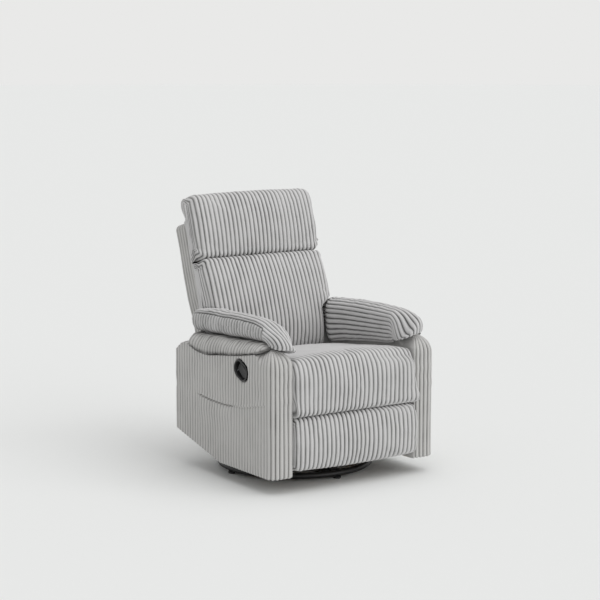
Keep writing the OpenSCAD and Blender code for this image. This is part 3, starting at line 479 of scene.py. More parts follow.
@dataclass(frozen=True)
class WovenLining:
    """Plain-woven polyester lining: matt, with a fine crossed thread."""

    name: str
    thread: str
    gap: str
    thread_mm: float = 1.6
    # Blender's wave has 20 bands in a unit at scale 1
    bands: int = 20

    def make(self) -> bpy.types.Material:
        """The material, two crossed waves."""
        # The real thread is 0.3 mm; it is drawn coarser so that it shows at all
        skin = Skin(self.name, {"Roughness": 0.9, "Specular IOR Level": 0.2, "Sheen Weight": 0.1})
        threads = []
        for direction in ("X", "Z"):
            settings = {"bands_direction": direction, "Scale": 1000 / self.thread_mm / self.bands}
            wave = add_node(skin.tree, "ShaderNodeTexWave", settings, {"Vector": skin.place})
            threads.append(wave.outputs["Fac"])
        weave = skin.maths("MULTIPLY", *threads)
        skin.colour(weave, [(0.0, self.gap), (0.8, self.thread)])
        skin.bump(weave, 0.3, 0.4)
        return skin.material


@dataclass(frozen=True)
class PowderCoat:
    """Baked polyester powder on steel: satin, with a fine orange peel."""

    name: str
    colour: str
    worn: str
    peel_mm: float = 2.0

    def make(self) -> bpy.types.Material:
        """The material, dusty in places."""
        # The coat is a plastic film, so it isn't metallic; the peel breaks up its highlights
        skin = Skin(self.name, {"Roughness": 0.42, "Specular IOR Level": 0.45})
        dust = skin.noise(14.0, 4.0)
        skin.colour(dust, [(0.35, self.colour), (0.8, self.worn)])
        skin.rough(dust, 0.34, 0.55)
        skin.bump(skin.noise(1000 / self.peel_mm, 2.0), 0.12, 0.3)
        return skin.material


@dataclass(frozen=True)
class PlatedSteel:
    """Pressed or drawn steel, zinc-plated or oiled: metallic, with rolling marks and cloudy patches."""

    name: str
    light: str
    dark: str
    roughness: float
    grain_mm: float = 1.2

    def make(self) -> bpy.types.Material:
        """The material, with its rolling marks along Y."""
        # The plating is thin and passivated, so the metal reads soft and slightly cloudy
        skin = Skin(self.name, {"Metallic": 1.0, "Roughness": self.roughness})
        skin.colour(skin.noise(22.0, 3.0), [(0.3, self.dark), (0.7, self.light)])
        marks = skin.noise(1000 / self.grain_mm, 2.0, along=0.08)
        skin.rough(marks, self.roughness - 0.1, self.roughness + 0.14)
        return skin.material


@dataclass(frozen=True)
class SawnWood:
    """Sawn or planed wood with grain along Y: birch plywood, or beech wiped with oil."""

    name: str
    early: str
    late: str
    roughness: float
    grain_mm: float = 6.0

    def make(self) -> bpy.types.Material:
        """The material, with light early wood and dark late wood."""
        # Grain runs with the longest side, so the noise is stretched along Y
        skin = Skin(self.name, {"Roughness": self.roughness, "Specular IOR Level": 0.3})
        grain = skin.noise(1000 / self.grain_mm, 5.0, 0.65, along=0.06)
        skin.colour(grain, [(0.3, self.late), (0.65, self.early)])
        skin.bump(grain, 0.2, 0.3)
        return skin.material


@dataclass(frozen=True)
class MouldedPlastic:
    """Injection-moulded polypropylene or nylon with a fine spark-eroded grain."""

    name: str
    colour: str
    scuffed: str
    roughness: float
    grain_mm: float = 0.9

    def make(self) -> bpy.types.Material:
        """The material, a little scuffed."""
        # The mould's grain takes the gloss down and leaves a broad soft highlight
        skin = Skin(self.name, {"Roughness": self.roughness, "Specular IOR Level": 0.5})
        skin.colour(skin.noise(30.0, 4.0), [(0.4, self.colour), (0.85, self.scuffed)])
        skin.bump(skin.noise(1000 / self.grain_mm, 2.0), 0.18, 0.3)
        return skin.material


@dataclass(frozen=True)
class MattPaint:
    """Seamless painted floor: matt, and beyond the lit middle it reads as the pale backdrop."""

    name: str
    colour: str

    def make(self) -> bpy.types.Material:
        """The material, with no gloss at all."""
        # Nothing mirrors in it, so only the chair's soft shadow shows
        matt = {"Base Color": linear(self.colour), "Roughness": 1.0, "Specular IOR Level": 0.0}
        return Skin(self.name, matt).material


class Finish(Enum):
    """Every finish on the chair, by the record's material slot."""

    CORDUROY = PlushCorduroy("corduroy_brushed_light_grey", "484747", "949493", "cecdcd")
    SIDE_CORDUROY = PlushCorduroy("corduroy_brushed_side", "4b4a49", "a2a19f", "c7c6c4")
    POCKET_CLOTH = WovenLining("polyester_plain_woven_lining", "8c8a86", "5c5a57")
    BLACK_PAINT = PowderCoat("steel_powder_coated_black", "161617", "232324")
    ZINC = PlatedSteel("steel_pressed_zinc_plated", "c9cbce", "9c9fa3", 0.38)
    DARK_STEEL = PlatedSteel("steel_drawn_oiled", "77797d", "4e5054", 0.34)
    PLYWOOD = SawnWood("birch_plywood_sawn", "dcc39a", "b8966a", 0.75)
    HARDWOOD = SawnWood("beech_planed_oiled", "b88a5c", "8d6440", 0.5)
    BLACK_PLASTIC = MouldedPlastic("polypropylene_moulded_black", "131314", "1e1e20", 0.4)
    GLIDE_PLASTIC = MouldedPlastic("nylon_moulded_black", "1a1a1b", "29292a", 0.55)

    @property
    def slot(self) -> str:
        """The record's material slot."""
        return self.name.lower()

    @property
    def material(self) -> bpy.types.Material:
        """The Blender material, made once."""
        return bpy.data.materials.get(self.value.name) or self.value.make()


@dataclass
class Unit:
    """A sub-assembly that dresses its own frame nodes and builds its own soft pieces."""

    nodes: dict

    def dress(self, finish: Finish, *names: str) -> None:
        """Gives frame nodes a finish.

        Args:
            finish: the finish.
            names: the nodes' names.
        """
        for name in names:
            materials = self.nodes[name].data.materials
            if not materials:
                materials.append(finish.material)
            for i in range(len(materials)):
                materials[i] = finish.material
            log.info("%s: %s", name, finish.value.name)

    def place(self, piece: bpy.types.Object, finish: Finish, body: str, *replaced: str) -> bpy.types.Object:
        """Gives a new piece its finish, its body and the nodes that it stands for.

        Args:
            piece: the new object.
            finish: its finish.
            body: the body that carries it.
            replaced: the nodes that it stands for.

        Returns:
            The piece.
        """
        piece.data.materials.append(finish.material)
        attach(piece, body)
        if replaced:
            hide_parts(*replaced)
        log.info("%s: %s, %d faces", piece.name, finish.value.name, len(piece.data.polygons))
        return piece


# Cushions that run across the chair


@dataclass
class CrossCushion:
    """A stuffed cushion across the chair, lofted from its side view, with wales up and over it."""

    name: str
    outline: Array
    spine: tuple[tuple[float, float], tuple[float, float]]
    half: float
    crown: float
    edge: float
    held: SideField
    relief: float = 5.5
    relief_at: SideField | None = None
    tight: SideField | None = None
    widen: SpaceField | None = None
    limit: SpaceField | None = None
    limit_ease: float = 8.0
    lid_bulge: float = 2.0
    lid_length: float = 60.0
    proud: float = 1.4
    swell: float = 24.0
    slack: float = 1.5
    around: int = 168
    coarse_step: float = 15.0
    seed: int = 1
    pucker: float = 1.2
    pucker_reach: float = 50.0
    place: Callable[[Array], Array] | None = None

    def stations(self, step: float, turns: int, lids: int) -> Array:
        """Rows from the left end's spine to the right end's: X, inset, share to the spine, length.

        Args:
            step: spacing of the rows on the straight part, mm.
            turns: rows over each rounded edge.
            lids: rows over each end.

        Returns:
            One row of four numbers for each section.
        """
        flat = self.half - self.edge
        count = max(2, int(round(flat / step)))
        half_rows = [(flat * k / count, 0.0, 0.0, flat * k / count) for k in range(count + 1)]
        for k in range(1, turns + 1):
            a = math.pi / 2 * k / turns
            inset = self.edge * (1 - math.cos(a))
            half_rows.append((flat + self.edge * math.sin(a), inset, 0.0, flat + self.edge * a))
        start = half_rows[-1][3]
        for k in range(1, lids + 1):
            t = k / lids
            x = self.half + self.lid_bulge * math.sin(math.pi / 2 * t)
            half_rows.append((x, self.edge, t, start + self.lid_length * t))
        rows = np.array(half_rows)
        mirrored = rows[:0:-1] * np.array([-1, 1, 1, -1])
        return np.vstack([mirrored, rows])

    def drawn(self, loop: Array) -> Array:
        """How freely each point of the outline is drawn in: not where it rests, and less at its seams."""
        free = self.held(loop[:, 0], loop[:, 1])
        return free if self.tight is None else free * (1 - self.tight(loop[:, 0], loop[:, 1]))

    def sections(self, rows: Array, around: int, slack: float) -> Array:
        """The slack or full form on given rows.

        Args:
            rows: rows from stations().
            around: points round each section.
            slack: how far the cover is drawn in everywhere, mm.

        Returns:
            (row, point, 3) points.
        """
        loop = evenly(self.outline, around, closed=True)
        free, hold = self.held(loop[:, 0], loop[:, 1]), self.drawn(loop)
        a, b = (np.array(p, float) for p in self.spine)
        t = np.clip(((loop - a) @ (b - a)) / ((b - a) @ (b - a)), 0, 1)
        core = a + t[:, None] * (b - a)
        reach = np.linalg.norm(core - loop, axis=1)
        inward = (core - loop) / np.maximum(reach, 1e-6)[:, None]
        x, inset, lid, _ = rows.T
        share = np.abs(x) / self.half
        # A seam keeps the cover from sagging in, but its ends are still rounded off
        shift = inset[:, None] * free[None, :] + (self.crown * share**2 + slack)[:, None] * hold[None, :]
        shift = np.minimum(shift, reach[None, :] * 0.9)
        shift = shift + (reach[None, :] - shift) * lid[:, None]
        grid = np.zeros((len(rows), around, 3))
        grid[:, :, 0] = x[:, None]
        grid[:, :, 1:] = loop[None] + inward[None] * shift[:, :, None]
        return grid

    def build(self) -> bpy.types.Object:
        """Builds the cushion: slack form, cloth simulation, then wales and puckers.

        Returns:
            The object.
        """
        rows = self.stations(WALE / STEPS_PER_WALE, 16, 14)
        around = np.arange(self.around) / self.around
        grid = self.sections(rows, self.around, self.slack)
        few = self.stations(self.coarse_step, 3, 3)
        count = max(24, self.around // 3)
        coarse = self.sections(few, count, self.slack)
        loop = evenly(self.outline, count, closed=True)
        held = np.repeat((1 - self.drawn(loop))[None], len(few), axis=0)
        held = np.maximum(held, (few[:, 2] > 0.9)[:, None] * 1.0)
        shift = plumped(coarse, np.clip(held, 0, 1), self.swell)
        grid = grid + spread(shift, few[:, 3], np.arange(count) / count, rows[:, 3], around)
        normal = grid_normals(grid, Edge.CLOSED)
        loop = evenly(self.outline, self.around, closed=True)
        amount = np.ones(self.around) if self.relief_at is None else self.relief_at(loop[:, 0], loop[:, 1])
        amount = amount[None, :] * (1 - smoothstep(rows[:, 2], 0.6, 1.0))[:, None]
        height = rib_height(rows[:, 3] / WALE + 0.5)[:, None]
        pucker = soft_noise(grid.shape[:2], (46, 12), self.seed) * self.pucker
        ends = smoothstep(np.abs(rows[:, 0]), self.half - self.pucker_reach, self.half)[:, None]
        depth = amount * (self.relief * (height - 1.0) + self.proud) + pucker * (0.3 + 1.2 * ends)
        grid = grid + normal * depth[:, :, None]
        y, z = grid[:, :, 1], grid[:, :, 2]
        if self.widen:
            grid[:, :, 0] *= self.widen(grid[:, :, 0], y, z)
        if self.limit:
            x = grid[:, :, 0]
            start = self.limit(x, y, z) - self.limit_ease
            past = np.maximum(np.abs(x) - start, 0) / self.limit_ease
            eased = start + self.limit_ease * (1 - np.exp(-past))
            grid[:, :, 0] = np.sign(x) * np.where(past > 0, eased, np.abs(x))
        # Valleys are painted darker the deeper the wales stand: partly the pile's own tone, partly painted
        # shade
        rib = 1.0 - (1.0 - height) * np.clip(amount, 0, 1.2)
        if self.place:
            grid = self.place(grid)
        return mesh_piece(self.name, grid, Edge.CLOSED, {"rib": rib})


# The chair's parts


@dataclass
class SwivelBase(Unit):
    """Ring base, swivel bearing, rocker tracks and the coil springs between them and the cams."""

    spring_x: float = 150.0
    spring_y: float = 70.0
    spring_low: float = 78.0
    spring_high: float = 153.0
    coil_r: float = 17.75
    wire_r: float = 2.25
    turns: int = 6
    wire_sides: int = 8

    def coil(self) -> Array:
        """Middle line of one coil spring, with closed flat ends.

        Returns:
            Points from its low end up.
        """
        t = np.linspace(0, self.turns, self.turns * 24 + 1)
        rise = smoothstep(t, 0.0, 1.2) * 0.5 + smoothstep(t, self.turns - 1.2, self.turns) * 0.5
        even = 0.15 * rise + 0.85 * t / self.turns
        z = self.spring_low + self.wire_r + even * (self.spring_high - self.spring_low - 2 * self.wire_r)
        a = 2 * math.pi * t
        return np.stack([self.coil_r * np.cos(a), self.coil_r * np.sin(a), z], axis=1)

    def springs(self) -> bpy.types.Object:
        """The four rocker springs as one piece between tracks and cams.

        Returns:
            The object.
        """
        line = self.coil()
        ahead = np.gradient(line, axis=0)
        ahead /= np.linalg.norm(ahead, axis=1, keepdims=True)
        out = np.stack([line[:, 0], line[:, 1], np.zeros(len(line))], axis=1) / self.coil_r
        up = np.cross(ahead, out)
        angle = np.linspace(0, 2 * math.pi, self.wire_sides, endpoint=False)[None, :, None]
        ring = self.wire_r * (np.cos(angle) * out[:, None] + np.sin(angle) * up[:, None])
        ends = [np.repeat(line[k, None, None], self.wire_sides, axis=1) for k in (0, -1)]
        coil = np.concatenate([ends[0], line[:, None] + ring, ends[1]], axis=0)
        pieces = []
        for x in (-self.spring_x, self.spring_x):
            for y in (-self.spring_y, self.spring_y):
                pieces.append(mesh_piece(f"coil_{len(pieces)}", coil + np.array([x, y, 0]), Edge.CLOSED))
        return joined("rocker_coil_springs", pieces)

    def build(self) -> None:
        """Dresses the base and builds the springs."""
        self.dress(Finish.BLACK_PAINT, "base_ring", "base_cross_bars", "rocker_cross_rails")
        self.dress(Finish.BLACK_PAINT, "lower_spring_plates", "upper_spring_plates")
        self.dress(Finish.GLIDE_PLASTIC, "foot_glides")
        for level in ("lower", "upper"):
            self.dress(Finish.ZINC, f"{level}_swivel_plate", f"{level}_plate_screws")
        self.dress(Finish.DARK_STEEL, "bearing_balls", "king_bolt")
        for side in Side:
            self.dress(Finish.HARDWOOD, f"{side.word}_rocker_track", f"{side.word}_rocker_cam")
        coils = self.springs()
        coils.data.materials.append(Finish.DARK_STEEL.material)
        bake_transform(coils)
        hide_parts("rocker_springs")


@dataclass
class Mechanism(Unit):
    """Rails, links and plates between the arms, all hidden under the seat."""

    def build(self) -> None:
        """Dresses the mechanism's nodes."""
        for side in Side:
            self.dress(Finish.BLACK_PAINT, f"{side.word}_base_rail", f"{side.word}_seat_plate")
            self.dress(Finish.BLACK_PAINT, f"{side.word}_back_bracket")
            self.dress(Finish.PLYWOOD, f"{side.word}_arm_frame")
        self.dress(Finish.BLACK_PAINT, "front_cross_tube", "rear_cross_tube", "footrest_brackets")
        self.dress(Finish.ZINC, "front_swing_links", "rear_swing_links", "swing_base_rivets", "seat_rivets")
        self.dress(Finish.ZINC, "main_rear_links", "second_rear_links", "front_links", "control_links")
        self.dress(Finish.ZINC, "back_hinge_pins", "front_link_rivets", "control_rivets", "footrest_rivets")
        self.dress(Finish.DARK_STEEL, "seat_springs", "arm_bolts")
        self.dress(Finish.PLYWOOD, "seat_frame", "back_frame", "footrest_board")


@dataclass
class FrontCushion(Unit):
    """A cushion that stands between the arms and, ahead of them, a little in front of the right one."""

    half: float = 275.0
    # Y of the arms' fronts, and most half widths between the arms
    arm_face: float = -411.0
    clear_right: float = 282.0
    clear_left: float = 281.0
    overlap_right: float = 21.0
    drawn_left: float = 9.0
    plumper: float = 0.085

    def widen(self, x: Array, y: Array, z: Array) -> Array:
        """Ahead of the arms the right part of the cushion is plumper."""
        return 1 + self.plumper * smoothstep(x, 0, 120) * smoothstep(y, self.arm_face + 3, self.arm_face - 12)

    def limit(self, x: Array, y: Array, z: Array) -> Array:
        """Most half width: clear of both arms, further out before the right one, drawn in at the left."""
        right = self.clear_right + self.overlap_right * smoothstep(y, self.arm_face - 1, self.arm_face - 10)
        left = self.clear_left - self.drawn_left * smoothstep(y, self.arm_face + 19, self.arm_face - 1)
        return np.where(x > 0, right, left)


@dataclass
class SeatCushion(FrontCushion):
    """Seat cushion whose front roll hangs over the frame, down to the footrest's pad."""

    front: float = 431.0
    depth: float = 557.0
    low: float = 299.3
    rise: float = 208.7
    shares: tuple = (
        (1, 0.12), (0.992, 0.54), (0.96, 0.71), (0.84, 0.775), (0.6, 0.845), (0.35, 0.925), (0.15, 0.985),
        (0.08, 0.995), (0.035, 0.92), (0.006, 0.72), (0, 0.42), (0.003, 0.12), (0.018, -0.015), (0.05, -0.05),
        (0.11, -0.05),
    )
    rest: tuple = ((0.13, -0.05), (0.137, 0), (1, 0))
    def held(self, y: Array, z: Array) -> Array:
        """How freely each point of the outline moves: not where the cushion rests."""
        return np.clip((z - self.low) / 40.0, 0, 1)

    def relief_at(self, y: Array, z: Array) -> Array:
        """Wales stand full on the front roll, flatten on the seat, and pinch at the lower seam."""
        # The same share sets how dark the valleys are painted: the seat's top is painted lighter as light
        # from above, and the lower seam darker as painted shade
        ahead = smoothstep(y, -self.front + 40, -self.front + 165)
        top = ahead * smoothstep(z, self.low + 60, self.low + 110)
        rear = smoothstep(y, 60, 110)
        under = smoothstep(z, self.low + 6, self.low - 8) * smoothstep(y, -410, -370)
        seam = 0.35 * smoothstep(z, self.low + 16, self.low - 4)
        return np.clip(1 - 0.72 * top - 0.2 * rear + seam - under, 0, 1.4)

    def build(self) -> None:
        """Builds the seat cushion."""
        shape = np.vstack([curve(self.shares), np.array(self.rest)])
        y, z = -self.front + shape[:, 0] * self.depth, self.low + shape[:, 1] * self.rise
        cushion = CrossCushion(
            "seat_cushion_cover", np.stack([y, z], axis=1), ((70, 385), (-350, 400)), self.half, 12.0, 22.0,
            self.held, relief_at=self.relief_at, around=264, seed=3, swell=22.0, widen=self.widen,
            limit=self.limit, tight=lambda y, z: 0.8 * smoothstep(z, self.low + 26, self.low + 2),
        )
        piece = self.place(cushion.build(), Finish.CORDUROY, "seat", "seat_cushion")


@dataclass
class Back(Unit):
    """Leaning back: two stuffed pillows on an upholstered outer shell."""

    half: float = 272.0
    hinge: tuple[float, float] = (180.0, 375.0)
    lean: float = 17.6
    seam: float = 437.0
    top: float = 708.0
    head_half: float = 287.0
    squeezed: float = 218.0
    upper_half: float = 281.0
    lower_depth: float = 121.0
    head_depth: float = 99.0
    lower_shares: tuple = (
        (0, 0.985), (0.2, 0.997), (0.55, 1), (0.74, 0.985), (0.86, 0.93), (0.955, 0.78), (1, 0.5),
        (0.965, 0.29), (0.78, 0.12), (0.5, 0.035), (0.2, 0.002), (0, 0.01),
    )
    head_shares: tuple = (
        (0, 0.62), (-0.04, 0.68), (-0.08, 0.85), (0.02, 0.965), (0.36, 1), (0.75, 0.96), (0.93, 0.85),
        (1, 0.55), (0.96, 0.24), (0.9, 0.08), (0.78, 0.015), (0.45, 0), (0, 0.01),
    )
    pillow_rear: float = -4.3
    shell_rear: float = 94.0
    shell_front: float = -4.0
    shell_low: float = -50.0
    shell_top: float = 602.0
    shell_t: float = 12.0
    shell_edge: float = 20.0
    shell_hem: float = 9.0
    shell_relief: float = 4.6
    shell_proud: float = 0.8
    shell_sag: float = 1.8

    def lean_back(self, points: Array) -> Array:
        """Points given upright over the hinge, leaned back with it into the chair's frame."""
        a = math.radians(-self.lean)
        y, z = points[..., 1], points[..., 2]
        out = points.copy()
        out[..., 1] = self.hinge[0] + y * math.cos(a) - z * math.sin(a)
        out[..., 2] = self.hinge[1] + y * math.sin(a) + z * math.cos(a)
        return out

    def reach(self, z: Array) -> Array:
        """Half width at a height above the hinge: narrow between the arms, wider above them."""
        return self.half + (self.upper_half - self.half) * smoothstep(z, 190, 320)

    def lower_reach(self, y: Array, z: Array) -> Array:
        """Most half width of the lower pillow: its front is drawn in between the arm pillows."""
        free = np.maximum(smoothstep(z, 188, 268), smoothstep(y, -46, -26))
        return self.squeezed + (self.upper_half + 40.0 - self.squeezed) * free

    def pillow(
        self, name: str, shares: tuple, depth: float, span: tuple[float, float], half: float, seed: int
    ) -> None:
        """Builds one of the back's pillows.

        Args:
            name: the frame node that it replaces.
            shares: its side view, as shares of depth and height.
            depth: how far it stands ahead of the hinge line, mm.
            span: its lower and upper edge above the hinge, mm.
            half: half its width, mm.
            seed: seed of its puckers.
        """
        shape, rear, (low, high) = curve(shares), self.pillow_rear, span
        outline = np.stack([rear - shape[:, 0] * (depth + rear), low + shape[:, 1] * (high - low)], axis=1)

        def held(y: Array, z: Array) -> Array:
            """Points at the shell stay where they are."""
            return np.clip(4 * (rear - y) / depth + 0.4 * smoothstep(z, 602, 612), 0, 1)

        def relief_at(y: Array, z: Array) -> Array:
            """Wales are full on the front, drawn deeper at the seam, and flat against the shell."""
            # The same share sets how dark the valleys are painted, so the seam between the pillows is painted
            # darker as shade
            seam = 0.4 * smoothstep(np.abs(z - self.seam), 26, 4)
            return np.clip(np.maximum(smoothstep(rear - y, -8, 10), smoothstep(z, 606, 620)) + seam, 0, 1.4)

        cushion = CrossCushion(
            f"{name}_cover", outline, ((-50, low + 50), (-50, high - 45)), half, 7.0, 34.0, held,
            relief_at=relief_at, around=216, seed=seed, place=self.lean_back, pucker=2.0, lid_bulge=12.0,
            tight=lambda y, z: 0.86 * smoothstep(np.abs(z - self.seam), 34, 6),
            limit=(lambda x, y, z: self.lower_reach(y, z)) if low < self.seam else None, limit_ease=16.0,
        )
        piece = self.place(cushion.build(), Finish.CORDUROY, "backrest", name)

    def shell_plan(self, inset: float) -> Array:
        """The outer back from above: up one side, round the rear and down the other."""
        half, rear, r = self.upper_half - inset, self.shell_rear - inset, self.shell_edge
        a = np.radians(np.linspace(180, 90, 13))
        corner = np.stack([r - half + r * np.cos(a), rear - r + r * np.sin(a)], axis=1)
        left = np.vstack([[[-half, self.shell_front]], corner])
        return np.vstack([left, left[::-1] * np.array([-1, 1])])

    def shell_grid(self, columns: Array, inset: float) -> Array:
        """The outer back's surface, its walls turned in at the foot and over at the top.

        Args:
            columns: share of the way round the plan for each column.
            inset: how far inside the outer surface, mm.

        Returns:
            (column, row, 3) points, upright over the hinge.
        """
        line = self.shell_plan(inset)
        plan = at_lengths(line, columns * lengths_of(line)[-1])
        spine_half = self.upper_half - 90
        spine_x = np.clip(plan[:, 0], -spine_half, spine_half)
        spine = np.stack([spine_x, np.full(len(plan), self.shell_front)], axis=1)
        reach = np.linalg.norm(spine - plan, axis=1)
        inward = (spine - plan) / np.maximum(reach, 1e-6)[:, None]
        top, r = self.shell_top - inset, self.shell_edge
        steps = [(np.minimum(self.shell_hem * (1 - k / 4), reach), self.shell_low) for k in range(4)]
        steps += [(0 * reach, z) for z in np.linspace(self.shell_low + 4, top - r, 60)]
        for a in np.linspace(0, math.pi / 2, 10)[1:]:
            steps.append((np.minimum(r * (1 - math.cos(a)), reach), top - r + r * math.sin(a)))
        for t in np.linspace(0, 1, 13)[1:]:
            steps.append((np.minimum(r, reach) + np.maximum(reach - r, 0) * t, top))
        rows = [np.column_stack([plan + inward * far[:, None], np.full(len(plan), z)]) for far, z in steps]
        grid = np.stack(rows, axis=1)
        grid[:, :, 0] *= self.reach(grid[:, :, 2]) / self.upper_half
        return grid

    def shell(self) -> None:
        """Builds the outer back and its lining."""
        total = lengths_of(self.shell_plan(0.0))[-1]
        columns = np.linspace(0, 1, int(total / WALE * STEPS_PER_WALE) | 1)
        grid = self.shell_grid(columns, 0.0)
        normal = grid_normals(grid, Edge.OPEN)
        width = np.linalg.norm(np.gradient(grid, axis=0), axis=2) * STEPS_PER_WALE
        rim = smoothstep(np.minimum(columns, 1 - columns) * total, 0, 8)[:, None]
        amount = np.clip((width / WALE) ** 1.2, 0, 1) * rim
        height = rib_height((columns - 0.5) * total / WALE + 0.5)[:, None] * np.ones((1, grid.shape[1]))
        foot = smoothstep(grid[:, :, 2], self.shell_low, self.shell_low + 40)
        sag = soft_noise(grid.shape[:2], (16, 9), 11) * foot
        wales = amount * (self.shell_relief * (height - 1) + self.shell_proud)
        grid = grid + normal * (wales + self.shell_sag * sag)[:, :, None]
        # Valleys are painted darker: partly the pile's own tone, partly painted shade
        rib = 0.9 - 0.7 * (1 - height) * np.clip(amount, 0, 1)
        cover = mesh_piece("outer_back_cover", self.lean_back(grid), Edge.OPEN, {"rib": rib})
        self.place(cover, Finish.SIDE_CORDUROY, "backrest", "back_shell")
        inner = self.shell_grid(np.linspace(0, 1, 60), self.shell_t)
        lining = mesh_piece("outer_back_lining", self.lean_back(inner), Edge.OPEN)
        self.place(lining, Finish.POCKET_CLOTH, "backrest")

    def build(self) -> None:
        """Builds the pillows and the shell."""
        lower, head = (12.0, self.seam), (self.seam + 0.3, self.top)
        self.pillow("lower_back_pillow", self.lower_shares, self.lower_depth, lower, self.upper_half + 2, 5)
        self.pillow("headrest_pillow", self.head_shares, self.head_depth, head, self.head_half, 6)
        self.shell()


@dataclass
class FootrestPad(FrontCushion):
    """Padded face of the footrest, the lower of the two front bulges."""

    half: float = 274.0
    back: float = 368.3
    depth: float = 63.7
    low: float = 76.0
    rise: float = 210.0
    shares: tuple = (
        (0, 0.985), (0.12, 0.995), (0.45, 1), (0.75, 0.96), (0.93, 0.86), (1, 0.62), (1, 0.38),
        (0.96, 0.14), (0.82, 0.03), (0.5, 0), (0.12, 0.005), (0, 0.02),
    )

    def held(self, y: Array, z: Array) -> Array:
        """Points on the board stay where they are."""
        return np.clip(4 * (-self.back - y) / self.depth, 0, 1)

    def relief_at(self, y: Array, z: Array) -> Array:
        """Wales are drawn deeper at the upper seam and flat on the board."""
        # The same share sets how dark the valleys are painted, so the upper seam is painted darker as shade
        high = self.low + self.rise
        seam = 0.3 * smoothstep(z, high - 18, high - 4)
        return np.clip(smoothstep(-self.back - y, 0, 14) + seam, 0, 1.3)

    def build(self) -> None:
        """Builds the pad."""
        shape, high = curve(self.shares), self.low + self.rise
        y, z = -self.back - shape[:, 0] * self.depth, self.low + shape[:, 1] * self.rise
        cushion = CrossCushion(
            "footrest_pad_cover", np.stack([y, z], axis=1), ((-398, self.low + 32), (-398, high - 32)),
            self.half, 8.0, 18.0, self.held, relief_at=self.relief_at, around=160, seed=8, swell=22.0,
            widen=self.widen, limit=self.limit, tight=lambda y, z: 0.8 * smoothstep(z, high - 24, high - 3),
        )
        piece = self.place(cushion.build(), Finish.CORDUROY, "footrest", "footrest_pad")

@dataclass(frozen=True)
class HandlePlace:
    """Where the release handle sits in the left arm's face, and how large it is, mm and degrees."""

    y: float = -212.0
    z: float = 440.0
    tilt: float = 24.0
    pin_tilt: float = 38.0
    shift: float = 8.0
    cup_up: float = 4.0
    cup_l: float = 95.0
    cup_w: float = 70.0
    well_l: float = 88.0
    well_w: float = 62.0


HANDLE = HandlePlace()


